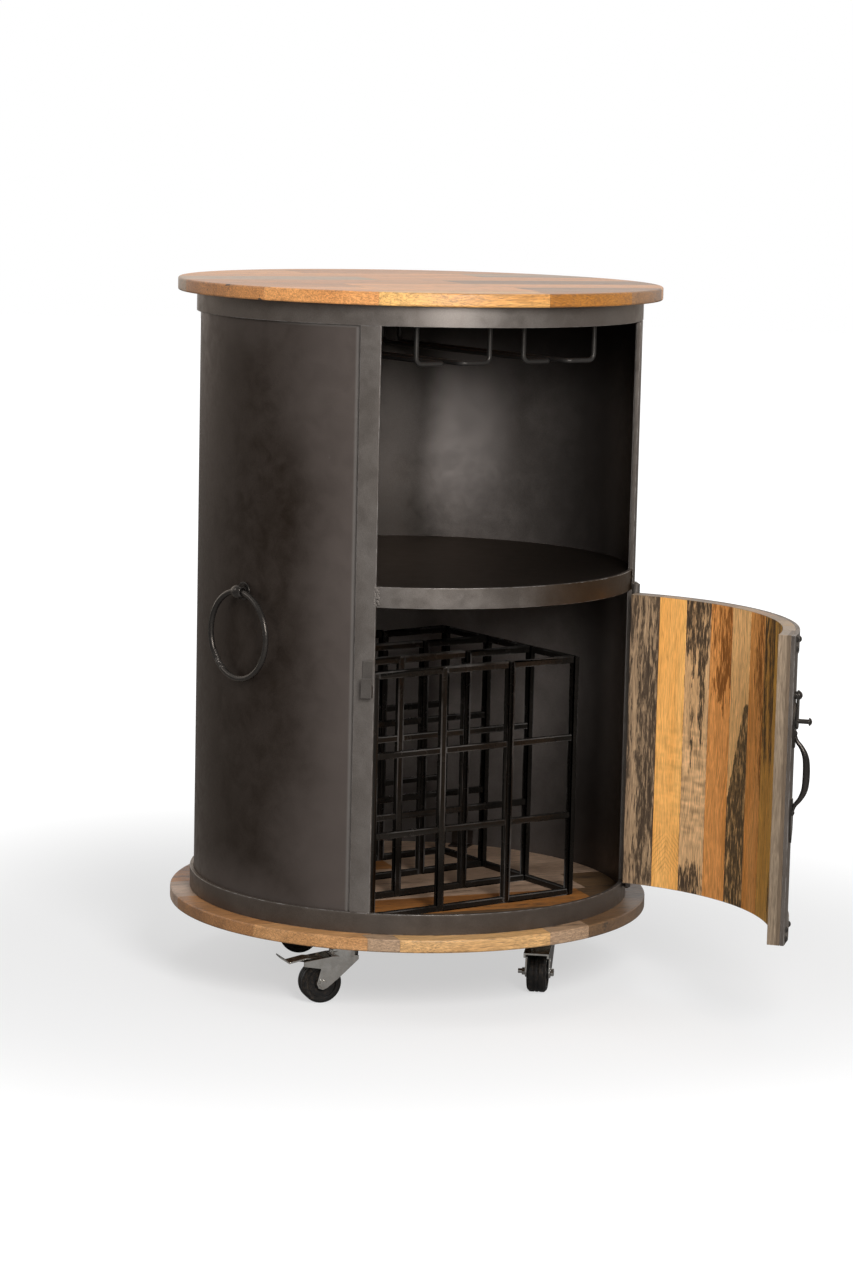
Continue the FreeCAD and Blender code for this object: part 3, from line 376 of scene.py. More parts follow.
@shared_group("Waxed steel", ("Color", "Roughness", "Height"), Vector=None, Base=(0.1, 0.1, 0.1),
              Pale=(0.2, 0.2, 0.2), Cloud=0.5, Gloss=0.42, Uneven=1.0)
def waxed_steel(w, given, result):
    """Waxed or painted steel: pale clouds, small blotches and a fine tooth."""
    spot = given["Vector"]
    cloud = w.noise(spot, 7, 3, 0.6, 0.3)
    blotch = w.noise(spot, 42, 4, 0.65, 0.4)
    tooth = w.noise(spot, 1100, 2)
    mask = w.span(w.plus(w.times(cloud, 0.6), w.times(blotch, 0.4)), 0.38, 0.66)
    base = w.mix(w.times(mask, given["Cloud"]), given["Base"], given["Pale"])
    speckle = w.times(w.span(tooth, 0.25, 0.75, -0.14, 0.14), given["Uneven"])
    w.feed(result["Color"], w.mix(1.0, base, w.plus(speckle, 1.0), "MULTIPLY"))
    patchy = w.span(blotch, 0.3, 0.7, -0.07, 0.09)
    w.feed(result["Roughness"], w.times_plus(patchy, given["Uneven"], given["Gloss"]))
    w.feed(result["Height"], w.times_plus(blotch, given["Uneven"], w.times(tooth, 0.35)))


@shared_group("Rubbed edge", ("Color",), Color=(0.1, 0.1, 0.1), Bare=(0.3, 0.3, 0.3), Amount=0.6, Scale=75.0)
def rubbed_edge_and_glint(w, given, result):
    """Edges that were rounded in the mesh, rubbed to another colour here and there. On the wine rack, in long
    unbroken strokes, the same colour is a painted glint along the edges.
    """
    broken = w.span(w.noise(w.place(), given["Scale"], 4, 0.6), 0.42, 0.62)
    mask = w.times(w.attribute("edge")["Fac"], w.times(broken, given["Amount"]))
    w.feed(result["Color"], w.mix(mask, given["Color"], given["Bare"]))


@shared_group("Paint chips", ("Mask",), Vector=None, Scale=24.0, Share=0.06)
def paint_chips(w, given, result):
    """Sparse small chips where bare metal shows."""
    sources = {"Vector": given["Vector"], "Scale": given["Scale"], "Randomness": 1.0}
    cells = w.add("TexVoronoi", sources).outputs
    torn = w.times_plus(w.noise(given["Vector"], 600, 2), 0.07, cells["Distance"])
    near = w.span(torn, 0.06, 0.085, 1, 0)
    chosen = w.math("LESS_THAN", w.parts(cells["Color"])[0], given["Share"])
    w.feed(result["Mask"], w.times(near, chosen))


def shade(name, metallic=0.0, shine=0.5, tint=(1, 1, 1)):
    """A new material: the material, its wiring and the inputs of its one shader."""
    material = bpy.data.materials.new(name)
    material.use_nodes = True
    inputs = material.node_tree.nodes["Principled BSDF"].inputs
    inputs["Metallic"].default_value = metallic
    inputs["Specular IOR Level"].default_value = shine
    inputs["Specular Tint"].default_value = (*tint, 1)
    return material, Wiring(material.node_tree), inputs


def dress(w, inputs, tone, finish, distance, strength):
    """Feeds a shader its colour, and the roughness and the height of a finish."""
    w.feed(inputs["Base Color"], tone)
    w.feed(inputs["Roughness"], finish["Roughness"])
    values = {"Height": finish["Height"], "Distance": distance, "Strength": strength}
    w.feed(inputs["Normal"], w.add("Bump", values).outputs[0])


def tone_ramp(w, value, tones):
    """One colour, or one shade of grey, for each step of a value from 0 to 1."""
    ramp = w.add("ValToRGB", {0: value})
    elements = ramp.color_ramp.elements
    ramp.color_ramp.interpolation = "CONSTANT"
    while len(elements) < len(tones):
        elements.new(1.0)
    for index, tone in enumerate(tones):
        elements[index].position = index / len(tones)
        elements[index].color = (*tone, 1) if isinstance(tone, tuple) else (tone, tone, tone, 1)
    return ramp.outputs[0]


def hearts(w, grain, patches):
    """Sum of ragged ovals, each of them (centre, reach, amount)."""
    total = 0.0
    for centre, reach, strength in patches:
        oval = w.use(heart_patch(), Vector=grain, Centre=centre, Reach=reach, Amount=strength)
        total = w.plus(total, oval["Mask"])
    return total


def board_wood(name, wood, tones, knots=(), lacquer=0.0):
    """Plank wood of a board. A tone is (light, mid, streak), and each length of plank has one of them."""
    material, w, inputs = shade(name, shine=0.4)
    inputs["Coat Weight"].default_value = lacquer
    inputs["Coat Roughness"].default_value = 0.3
    turned = w.add("Mapping", {"Vector": w.place(), "Rotation": (0, 0, -wood.board_turn)}).outputs[0]
    along, across, level = w.parts(turned)
    grain = w.join(across, level, along)
    tone = w.attribute("tone")["Fac"]
    light, mid, streak = (tone_ramp(w, tone, row) for row in zip(*tones))
    heart = hearts(w, grain, [(spot, KNOT, strength) for spot, strength in knots])
    figure = w.use(mango_figure(), Vector=grain, Light=light, Mid=mid, Dark=wood.umber, Streak=streak,
                   Heart=heart, Fleck=0.45, Seed=w.attribute("plank")["Fac"])
    worn = w.use(rubbed_edge_and_glint(), Color=figure["Color"], Bare=wood.umber, Amount=0.5)
    dress(w, inputs, worn["Color"], figure, 0.0004, WOOD_BUMP)
    return material


def stave_wood(name, wood, light, mid, dark, streak, seed, fleck=0.4, ripple=0.0, patches=(), wedge=None,
               arches=None, rim=None):
    """Wood of one door stave, on the stave's own grain coordinates.

    A patch is (side, down, wide, tall, strength). Its middle is given in halves of the stave's width and in
    parts of its height from the top, its half width and half height in metres. A strength below zero makes
    it paler.
    """
    material, w, inputs = shade(name, shine=0.25)
    grain = w.attribute("grain")["Vector"]
    across, depth, level = w.parts(grain)
    heart = hearts(w, grain, [((side * STAVE_HALF, 0, DOOR_TOP - down * DOOR_TALL), (wide, 1, tall), strength)
                              for side, down, wide, tall, strength in patches])
    if wedge:
        heart = w.plus(heart, heart_wedge(w, across, level, *wedge))
    if ripple:
        middle = (0, 0, DOOR_TOP - 0.62 * DOOR_TALL)
        rippled = w.use(heart_patch(), Vector=grain, Centre=middle, Reach=(0.04, 1, 0.08), Amount=ripple)
        ripple = rippled["Mask"]
    lines = grain_arches(w, across, level, *arches) if arches else 0.0
    figure = w.use(mango_figure(), Vector=grain, Light=light, Mid=mid, Dark=dark, Streak=streak, Heart=heart,
                   Line=lines, Ripple=ripple, Fleck=fleck, Seed=seed)
    worn = w.use(rubbed_edge_and_glint(), Color=figure["Color"], Bare=wood.umber, Amount=0.55)
    half = DOOR_TALL / 2
    from_middle = w.math("ABSOLUTE", w.minus(level, DOOR_TOP - half))
    end = w.span(from_middle, half - 0.0007, half - 0.0003, 0.0, 0.8)
    tone = w.mix(end, worn["Color"], wood.taupe)
    if rim:
        inner = w.span(depth, *rim, 0, 0.62)
        outer = w.span(depth, DRUM_RADIUS - 0.0054, DRUM_RADIUS - 0.0051, 1, 0)
        tone = w.mix(w.times(inner, outer), tone, wood.umber)
    dress(w, inputs, tone, figure, 0.0005, WOOD_BUMP)
    return material


def heart_wedge(w, across, level, tip, foot):
    """Dark heartwood that starts in a tip on the right and widens downwards to the whole stave."""
    ragged = w.wobble(w.join(across, 0, level), 0.010, 70, 4, 0.7)
    limits = {"From Min": foot, "From Max": tip, "To Min": -STAVE_HALF * 1.1, "To Max": STAVE_HALF * 0.6}
    border = w.add("MapRange", {"Value": level, **limits}).outputs[0]
    inside = w.plus(w.minus(across, border), ragged)
    below = w.span(w.plus(level, ragged), tip - 0.012, tip + 0.004, 1, 0)
    return w.times(w.span(inside, -0.0012, 0.0012, 0.0, 0.55), below)


def grain_arches(w, across, level, low, high):
    """Pointed arches of the growth rings near the foot of a stave."""
    arch = w.times_plus(w.math("ABSOLUTE", across), 1.15, level)
    arch = w.times_plus(w.noise(w.join(across, 0, level), 90, 2), 0.008, arch)
    lines = w.span(w.math("PINGPONG", w.times(arch, 150.0), 0.5), 0.05, 0.25, 1, 0)
    return w.times(w.times(lines, w.window(level, low, low + 0.02, high - 0.02, high)), 0.28)


def steel(name, base, pale, metal, cloud=0.5, gloss=0.42, metallic=0.5, wear=0.6, wear_scale=75.0,
          depth=0.0003, uneven=1.0, shine=0.25):
    """Waxed or painted metal of one tone."""
    material, w, inputs = shade(name, metallic, shine, metal.wax)
    finish = w.use(waxed_steel(), Vector=w.place(), Base=base, Pale=pale, Cloud=cloud, Gloss=gloss,
                   Uneven=uneven)
    worn = w.use(rubbed_edge_and_glint(), Color=finish["Color"], Bare=metal.bare, Amount=wear, Scale=wear_scale)
    dress(w, inputs, worn["Color"], finish, depth, STEEL_BUMP)
    return material


def bar_finish(metal):
    """Waxed flat bar with painted shade, browner and darker to the right, on the shelf band and on the lower
    hoop; it is also a little browner at the far left.
    """
    material, w, inputs = shade("frame_bar", 0.5, 0.25, metal.wax)
    spot = w.place()
    x, _, z = w.parts(spot)
    finish = w.use(waxed_steel(), Vector=spot, Base=metal.gunmetal, Pale=metal.bar_pale, Cloud=0.55,
                   Gloss=0.38)
    side = w.plus(x, w.wobble(spot, 0.12, 12, 3, 0.6))
    right = w.span(side, -0.10, 0.07)
    left = w.span(side, -0.28, -0.19, 0.4, 0)
    low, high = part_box("shelf_band")
    band = w.times(w.math("GREATER_THAN", z, low.z), w.math("LESS_THAN", z, high.z))
    hoop_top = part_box("bottom_hoop")[1].z
    hoop = w.span(z, hoop_top - 0.004, hoop_top + 0.004, 0.55, 0)
    # brown masks the painted shade, with the browner far left; tinted is the bar colour darkened by it.
    brown = w.most(w.times(right, w.blend(band, 0.3, 1.0)), w.most(hoop, left))
    tinted = w.mix(brown, finish["Color"], w.mix(1.0, finish["Color"], (0.30, 0.21, 0.13), "MULTIPLY"))
    worn = w.use(rubbed_edge_and_glint(), Color=tinted, Bare=metal.bare, Amount=0.6)
    dress(w, inputs, worn["Color"], finish, 0.0003, STEEL_BUMP)
    return material


def drum_finish(metal):
    """Sheet of the drum, with one look outside and one inside, each with painted light and shade. Turns are
    in radians from the front.
    """
    material, w, inputs = shade("drum_sheet", 0.45, 0.22, metal.wax)
    spot = w.place()
    x, y, z = w.parts(spot)
    turn = w.math("ABSOLUTE", w.math("ARCTAN2", x, w.times(y, -1.0)))
    uneven = w.wobble(spot, 0.05, 9, 3, 0.6)
    finish = w.use(waxed_steel(), Vector=spot, Base=metal.drum, Pale=metal.drum_pale, Cloud=0.18, Gloss=0.40)
    outside = drum_outside(w, metal, finish["Color"], spot, turn, z, uneven)
    inside = drum_inside(w, metal, spot, w.times_plus(uneven, 1.8, turn), z)
    radius = w.length(w.stretch(spot, (1, 1, 0)))
    skin_middle = (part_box("drum_skin")[1].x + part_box("shelf_plate")[1].x) / 2
    tone = w.mix(w.math("LESS_THAN", radius, skin_middle), outside, inside)
    dress(w, inputs, tone, finish, 0.0003, STEEL_BUMP)
    return material


def drum_outside(w, metal, sheet, spot, turn, z, uneven):
    """Dark sheet, paler at its borders, which is partly worn paint and partly painted sheen, with a painted
    sheen round the left side, a thin painted highlight along its edges by the stile and under the top hoop,
    and a few chips.
    """
    low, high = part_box("left_stile")
    stile_far = math.atan2(-low.x, -high.y)
    waist_level = 0.48
    beside = w.times(w.minus(turn, stile_far), DRUM_RADIUS)
    waist = w.span(w.math("ABSOLUTE", w.minus(z, waist_level)), 0.14, 0.24, 1.0, 0.62)
    # The pale borders by the stile, the foot and the head are partly worn paint and partly painted sheen.
    near_stile = w.span(w.times(w.plus(beside, uneven), waist), 0.0, 0.10, 1, 0)
    near_foot = w.span(w.plus(w.minus(z, low.z), uneven), 0.0, 0.06, 0.7, 0)
    near_head = w.span(w.plus(w.minus(high.z, z), uneven), 0.0, 0.08, 0.4, 0)
    # Painted sheen round the left side of the drum, stronger towards the top.
    painted_limb_sheen = w.times(w.span(turn, 1.45, 1.95, 0, 0.8), w.span(z, low.z + 0.3, high.z, 0.3, 1.0))
    border = w.most(w.most(near_stile, painted_limb_sheen), w.most(near_foot, near_head))
    skin = w.mix(w.times(border, 0.75), sheet, metal.drum_pale)
    # rim is a painted highlight: a thin pale line along the sheet's edges by the stile and under the top
    # hoop.
    under_hoop = w.minus(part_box("top_hoop")[0].z, z)
    rim = w.most(w.span(beside, 0.002, 0.0055, 1, 0), w.span(under_hoop, 0.001, 0.004, 1, 0))
    rim = w.times(rim, w.span(beside, 0.05, 0.14, 0.8, 0))
    chips = w.use(paint_chips(), Vector=spot, Scale=22.0, Share=0.05)
    return w.mix(chips["Mask"], w.mix(rim, skin, metal.bar_pale), metal.bare)


def drum_inside(w, metal, spot, around, z):
    """Grey paint with painted light and shade: a painted pool of light at the back of the upper compartment,
    and painted shade towards the sides, under the ceiling, near the shelf and towards the floor.
    """
    lining = w.use(waxed_steel(), Vector=spot, Base=metal.lining, Pale=metal.lining_pale, Cloud=0.2,
                   Gloss=0.44)
    shelf_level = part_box("shelf_plate")[1].z
    # Every factor of light below is painted light or painted shade on the grey paint.
    near = w.span(around, 1.28, 1.46, 1, 0)
    far_side = w.span(around, 2.3, 2.55)
    rear = w.times_plus(near, 0.3, w.span(around, 1.5, 2.2, 0.4, 1.0))
    ceiling = w.span(z, 0.68, 0.80, 1.0, w.blend(far_side, 0.3, 0.05))
    upper = w.times(w.span(around, 2.36, 2.55, 1.0, 0.42), ceiling)
    foot = w.times(far_side, w.span(z, shelf_level + 0.01, shelf_level + 0.10, 0.55, 0.0))
    upper = w.times(upper, w.minus(1.0, foot))
    lower = w.times_plus(near, 0.8, w.span(around, 1.4, 1.95, 0.6, 2.2))
    lower = w.times(lower, w.span(z, 0.12, 0.47, 0.36, 1.05))
    lower = w.times(lower, w.span(far_side, 0, 1, 1.0, 0.5))
    light = w.blend(w.math("LESS_THAN", z, shelf_level), w.times(rear, upper), lower)
    grey = w.mix(1.0, lining["Color"], light, "MULTIPLY")
    # bloom is a painted pool of light at the back of the upper compartment.
    bloom = w.times(w.window(around, 2.0, 2.28, 2.36, 2.54), w.window(z, 0.51, 0.66, 0.70, 0.80))
    return w.mix(bloom, grey, metal.lining_pale)


def zinc_finish(metal):
    """Plating of the castors, with the clouds of the steel at a quarter of their size."""
    material, w, inputs = shade("zinc_plate", 1.0)
    finish = w.use(waxed_steel(), Vector=w.scaled(w.place(), 4.0), Base=metal.zinc, Pale=(0.40, 0.375, 0.335),
                   Cloud=0.6, Gloss=0.19, Uneven=0.3)
    dress(w, inputs, finish["Color"], finish, 0.0002, 0.3)
    return material


def rubber_finish(metal):
    """Black tyres with dusty scuffs."""
    material, w, inputs = shade("tyre_rubber", shine=0.25)
    spot = w.place()
    scuff = w.span(w.noise(spot, 320, 4, 0.7, 0.5), 0.45, 0.68)
    dust = w.span(w.noise(spot, 35, 3), 0.3, 0.65)
    tone = w.mix(w.times(scuff, dust), metal.rubber, (0.062, 0.046, 0.034))
    finish = {"Roughness": w.span(scuff, 0, 1, 0.48, 0.72), "Height": w.noise(spot, 700, 2)}
    dress(w, inputs, tone, finish, 0.0003, 0.4)
    return material


def joined_copy(node):
    """A bmesh of a CAD node with its loose triangles joined and its flat faces whole."""
    bm = bmesh.new()
    bm.from_mesh(NODES[node].data)
    bmesh.ops.remove_doubles(bm, verts=bm.verts, dist=JOIN)
    bmesh.ops.dissolve_limit(bm, angle_limit=FLAT, verts=bm.verts, edges=bm.edges)
    return bm


def bevel(bm, edges, width, segments, layer, wear, slide=False):
    """Bevels edges and notes in a layer how worn the new faces are."""
    made = bmesh.ops.bevel(bm, geom=edges, offset=width, offset_type="OFFSET", segments=segments, profile=0.5,
                           affect="EDGES", clamp_overlap=True, material=-1, loop_slide=slide)
    for face in made["faces"]:
        face[layer] = wear


def round_edges(bm, width, segments=2):
    """Bevels the sharp edges and marks the new faces in the attribute edge."""
    layer = bm.faces.layers.float.get("edge") or bm.faces.layers.float.new("edge")
    sharp = [edge for edge in bm.edges if len(edge.link_faces) == 2 and edge.calc_face_angle(0) > ROUNDED]
    bevel(bm, sharp, width, segments, layer, WORN, slide=True)


def finish_piece(name, bm, material, nodes, body=None):
    """Makes the bmesh an object that stands for CAD nodes and rides on their body."""
    mesh = bpy.data.meshes.new(name)
    bm.to_mesh(mesh)
    bm.free()
    mesh.materials.append(material)
    mesh.shade_smooth()
    mesh.set_sharp_from_angle(angle=SHARP)
    piece = bpy.data.objects.new(name, mesh)
    piece.modifiers.new("even_flats", "WEIGHTED_NORMAL").keep_sharp = True
    bpy.context.scene.collection.objects.link(piece)
    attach(piece, body or NODES[nodes[0]]["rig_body"])
    if nodes:
        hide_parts(*nodes)


def soften(node, width, material, segments=2):
    """Replaces a CAD node with a copy whose edges are rounded."""
    bm = joined_copy(node)
    round_edges(bm, width, segments)
    finish_piece(node + "_rounded", bm, material, [node])


def paint(node, material):
    """Gives a CAD node that keeps its shape a new material."""
    for slot in NODES[node].material_slots:
        slot.material = material


def new_faces(bm, known):
    return [face for face in bm.faces if face not in known]


def saw(bm, known, plane_co, plane_no, width, layer):
    """Cuts the newest length of plank at a plane, closes the cut and breaks its edges."""
    faces = new_faces(bm, known)
    edges = list({item for face in faces for item in face.edges})
    verts = list({item for face in faces for item in face.verts})
    cut = bmesh.ops.bisect_plane(bm, geom=faces + edges + verts, plane_co=plane_co, plane_no=plane_no,
                                 clear_outer=True)
    loop = [item for item in cut["geom_cut"] if isinstance(item, bmesh.types.BMEdge)]
    if not loop:
        return
    filled = bmesh.ops.edgeloop_fill(bm, edges=loop)["faces"]
    bevel(bm, list({item for face in filled for item in face.edges}), width, 1, layer, WORN)


def plank_board(node, wood, material, rows, tone_count):
    """Round board of planks. A row, from the front, is its butt joints and the tones of its lengths."""
    low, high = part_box(node)
    radius = high.x
    bm = bmesh.new()
    tone = bm.faces.layers.float.new("tone")
    plank = bm.faces.layers.float.new("plank")
    layer = bm.faces.layers.float.new("edge")
    middle = Matrix.Translation((0, 0, (low.z + high.z) / 2))
    front = wood.plank_start - SEAMS_BEFORE * wood.plank_width
    count = 0
    for row, (joints, tones) in enumerate(rows):
        ends = [-2 * radius, *joints, 2 * radius]
        for piece, pick in enumerate(tones):
            known = set(bm.faces)
            bmesh.ops.create_cone(bm, cap_ends=True, segments=BOARD_SIDES, radius1=radius, radius2=radius,
                                  depth=high.z - low.z, matrix=middle)
            rim = {edge for face in new_faces(bm, known) if len(face.verts) > 4 for edge in face.edges}
            bevel(bm, list(rim), wood.board_edge, 4, layer, HALF_WORN)
            cuts = []
            if row > 0:
                cuts.append(((0, front + (row - 1) * wood.plank_width, 0), (0, -1, 0)))
            if row < len(rows) - 1:
                cuts.append(((0, front + row * wood.plank_width, 0), (0, 1, 0)))
            if piece > 0:
                cuts.append(((ends[piece], 0, 0), (-1, 0, 0)))
            if piece < len(tones) - 1:
                cuts.append(((ends[piece + 1], 0, 0), (1, 0, 0)))
            for spot, normal in cuts:
                saw(bm, known, spot, normal, wood.seam_edge, layer)
            count += 1
            for face in new_faces(bm, known):
                face[tone] = (pick + 0.5) / tone_count
                face[plank] = count
    bmesh.ops.rotate(bm, verts=bm.verts, cent=(0, 0, 0), matrix=Matrix.Rotation(wood.board_turn, 3, "Z"))
    bmesh.ops.recalc_face_normals(bm, faces=bm.faces)
    finish_piece(node + "_planks", bm, material, [node])


def grain_attribute(bm):
    """Coordinates of one stave: across from its middle, outwards from the drum's axis, and up."""
    layer = bm.verts.layers.float_vector.new("grain")
    polar = {}
    for vert in bm.verts:
        spot = DOOR_CLOSED @ vert.co
        polar[vert] = (-math.atan2(spot.x, -spot.y) * DRUM_RADIUS, math.hypot(spot.x, spot.y), spot.z)
    middle = (min(place[0] for place in polar.values()) + max(place[0] for place in polar.values())) / 2
    for vert, (across, depth, level) in polar.items():
        vert[layer] = (across - middle, depth, level)


def on_drum(degrees, radius, level):
    turn = math.radians(degrees)
    return Vector((radius * math.sin(turn), -radius * math.cos(turn), level))


def weld_patch(bm, degrees, wide, low, high, size, rng):
    """Rough patch of overlapping flat lumps on the drum's outer bars.

    It starts at an angle, where its lumps lie closest, and is wide in degrees to one side of it.
    """
    lump_share, crowding, flatness, sunk = 1.3, 1.6, 0.22, 0.0001
    area = abs(wide) / 360 * math.tau * DRUM_RADIUS * (high - low)
    for _ in range(max(3, round(area / (size * size * lump_share)))):
        turn = degrees + wide * rng.random() ** crowding
        lump = size * rng.uniform(0.6, 1.2)
        spot = on_drum(turn, DRUM_RADIUS - sunk, rng.uniform(low, high))
        flat = Matrix.Rotation(math.radians(turn), 4, "Z") @ Matrix.Diagonal((lump, lump * flatness, lump, 1))
        bmesh.ops.create_icosphere(bm, subdivisions=2, radius=1, matrix=Matrix.Translation(spot) @ flat)


def ring_weld(bm, side, rng):
    """Lumpy collar where a ring handle was closed."""
    swing = JOINTS["ring_%s_swing" % side]
    spots = [vert.co for vert in NODES["ring_" + side].data.vertices]
    middle = sum(spots, Vector()) / len(spots)
    down = (middle - Vector(swing["pos_m"])).normalized()
    along = Vector(swing["axis"]).normalized()
    along = along if along.y > 0 else -along
    across = down.cross(along)
    tube = max(abs((spot - middle).dot(across)) for spot in spots)
    radius = max((spot - middle).dot(down) for spot in spots) - tube
    start, stop = RING_WELD
    for index in range(RING_LUMPS):
        turn = math.radians(start + (stop - start) * index / (RING_LUMPS - 1))
        spot = middle + (down * math.cos(turn) + along * math.sin(turn)) * radius
        lump = tube * rng.uniform(1.0, 1.1)
        place = Matrix.Translation(spot + across * rng.uniform(-0.2, 0.2) * tube)
        bmesh.ops.create_icosphere(bm, subdivisions=2, radius=lump, matrix=place)


def handle_place():
    """Frame on the door's free bar at the handle's middle: X along the drum, Y outwards, Z up."""
    spot = DOOR_CLOSED @ Vector(JOINTS["latch_swing"]["pos_m"])
    turn = math.atan2(spot.x, -spot.y)
    low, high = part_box("door_handle")
    foot = on_drum(math.degrees(turn), DRUM_RADIUS, (low.z + high.z) / 2)
    return DOOR_CLOSED.inverted() @ Matrix.Translation(foot) @ Matrix.Rotation(turn + math.pi, 4, "Z")


def handle_bow():
    """Mesh of the handle's tapered bow. A point of its upper half is (level, out, thickness)."""
    half = [(0.047, 0.0017, 0.0014), (0.043, 0.0024, 0.0020), (0.037, 0.0042, 0.0025),
            (0.031, 0.0098, 0.0029), (0.020, 0.0152, 0.0039), (0.007, 0.0164, 0.0043)]
    line = half + [(-level, out, thick) for level, out, thick in reversed(half)]
    curve = bpy.data.curves.new("handle_bow", "CURVE")
    curve.dimensions = "3D"
    curve.bevel_depth = 1.0
    curve.bevel_resolution = 6
    curve.resolution_u = 10
    curve.use_fill_caps = True
    spline = curve.splines.new("NURBS")
    spline.points.add(len(line) - 1)
    for point, (level, out, thick) in zip(spline.points, line):
        point.co = (0, out, level, 1)
        point.radius = thick
    spline.order_u = 3
    spline.use_endpoint_u = True
    rod = bpy.data.objects.new("handle_bow", curve)
    mesh = bpy.data.meshes.new_from_object(rod)
    bpy.data.objects.remove(rod)
    bpy.data.curves.remove(curve)
    return mesh


def forged_handle(metal, iron):
    """Tapered bow that flows into its two leaf-shaped ends."""
    place = handle_place()
    bm = joined_copy("door_handle")
    bmesh.ops.transform(bm, matrix=place.inverted(), verts=bm.verts)
    everything = bm.verts[:] + bm.edges[:] + bm.faces[:]
    bmesh.ops.bisect_plane(bm, geom=everything, plane_co=(0, metal.leaf_thick, 0), plane_no=(0, 1, 0),
                           clear_outer=True)
    bmesh.ops.holes_fill(bm, edges=[edge for edge in bm.edges if edge.is_boundary])
    round_edges(bm, metal.bar_edge)
    bow = handle_bow()
    bm.from_mesh(bow)
    bpy.data.meshes.remove(bow)
    bmesh.ops.transform(bm, matrix=place, verts=bm.verts)
    finish_piece("door_handle_forged", bm, iron, ["door_handle"])


def forged_eyes(metal, iron):
    """Eyes of the two rings, swollen in the middle like a forged knuckle."""
    taper = 0.3
    bm = joined_copy("ring_eyes")
    for side in SIDES:
        swing = JOINTS["ring_%s_swing" % side]
        pivot = Vector(swing["pos_m"])
        along = Vector(swing["axis"]).normalized()
        lug = [vert for vert in bm.verts if (vert.co - pivot).length < metal.eye_reach]
        half = max(abs((vert.co - pivot).dot(along)) for vert in lug)
        for step in (-0.75, -0.5, -0.25, 0, 0.25, 0.5, 0.75):
            lug = [vert for vert in bm.verts if (vert.co - pivot).length < metal.eye_reach]
            edges = list({edge for vert in lug for edge in vert.link_edges})
            faces = list({face for vert in lug for face in vert.link_faces})
            bmesh.ops.bisect_plane(bm, geom=lug + edges + faces, plane_co=pivot + along * half * step,
                                   plane_no=along)
        for vert in bm.verts:
            offset = vert.co - pivot
            run = offset.dot(along)
            away = offset - along * run
            if offset.length < metal.eye_reach and away.length > metal.eye_hole:
                vert.co = pivot + along * run + away * (1 - taper * (run / half) ** 2)
    round_edges(bm, metal.bar_edge, 3)
    finish_piece("ring_eyes_rounded", bm, iron, ["ring_eyes"])


class BARREL_OT_boards(Operator):
    """Planked top and base and the battens under the base"""
    bl_idname = "barrel.boards"
    bl_label = "Boards"

    def execute(self, context):
        wood = context.scene.barrel_wood
        knotty = ((0.62, 0.265, 0.08), (0.48, 0.20, 0.062), 0.18)
        russet = ((0.80, 0.36, 0.115), (0.66, 0.28, 0.085), 0.16)
        light = (tuple(wood.honey), (0.60, 0.27, 0.07), 0.12)
        ochre_painted_shade = ((0.46, 0.185, 0.026), (0.37, 0.14, 0.02), 0.24)
        grey = ((0.52, 0.33, 0.185), (0.38, 0.245, 0.15), 0.18)
        brown = ((0.37, 0.18, 0.068), (0.28, 0.135, 0.05), 0.3)
        top_tones = [knotty, russet, light, ochre_painted_shade, grey, brown]
        # The ochre length at the right end of the front row and the brown length at the right end of the
        # second row are painted shade, where the light falls off to the right.
        top_rows = [([-0.1495, 0.05], [1, 2, 3]), ([0.06], [1, 5]), ([-0.13], [0, 1]), ([0.03], [0, 5]),
                    ([-0.05], [4, 1]), ([0.12], [1, 4]), ([-0.09], [1, 0]), ([], [1])]
        knots = [((-0.100, 0, -0.283), 0.26), ((-0.060, 0, -0.292), 0.2), ((-0.150, 0, -0.255), 0.2),
                 ((0.120, 0, 0.060), 0.3)]
        lacquered = board_wood("top_planks", wood, top_tones, knots, 0.3)
        plank_board("top_board", wood, lacquered, top_rows, len(top_tones))
        sand = ((0.66, 0.385, 0.16), (0.52, 0.28, 0.105), 0.24)
        ash = ((0.44, 0.29, 0.18), (0.36, 0.23, 0.14), 0.34)
        fawn = ((0.66, 0.345, 0.145), (0.52, 0.26, 0.10), 0.14)
        dun_and_shade = ((0.20, 0.115, 0.055), (0.145, 0.082, 0.04), 0.46)
        copper = ((0.50, 0.20, 0.05), (0.30, 0.115, 0.03), 0.42)
        dusk_with_painted_light = ((0.62, 0.42, 0.29), (0.42, 0.275, 0.185), 0.36)
        tawny = ((0.44, 0.205, 0.075), (0.33, 0.15, 0.052), 0.3)
        base_tones = [sand, ash, fawn, dun_and_shade, copper, dusk_with_painted_light, tawny]
        # The dun lengths at the right ends of the first, third and fourth rows are painted shade. dusk is a
        # grey wood tone made paler to paint in the light on the floor inside the drum.
        base_rows = [([-0.148, -0.113, 0.075, 0.135], [2, 1, 0, 1, 3]), ([-0.05], [2, 3]),
                     ([-0.16, 0.2], [6, 4, 3]), ([-0.2, 0.215], [6, 5, 3]), ([], [5]), ([0.02], [4, 5]),
                     ([], [5]), ([], [3])]
        plain = board_wood("base_planks", wood, base_tones)
        plank_board("base_board", wood, plain, base_rows, len(base_tones))
        soften("base_battens", wood.seam_edge * 3, board_wood("batten_wood", wood, [dun_and_shade]))
        return {"FINISHED"}


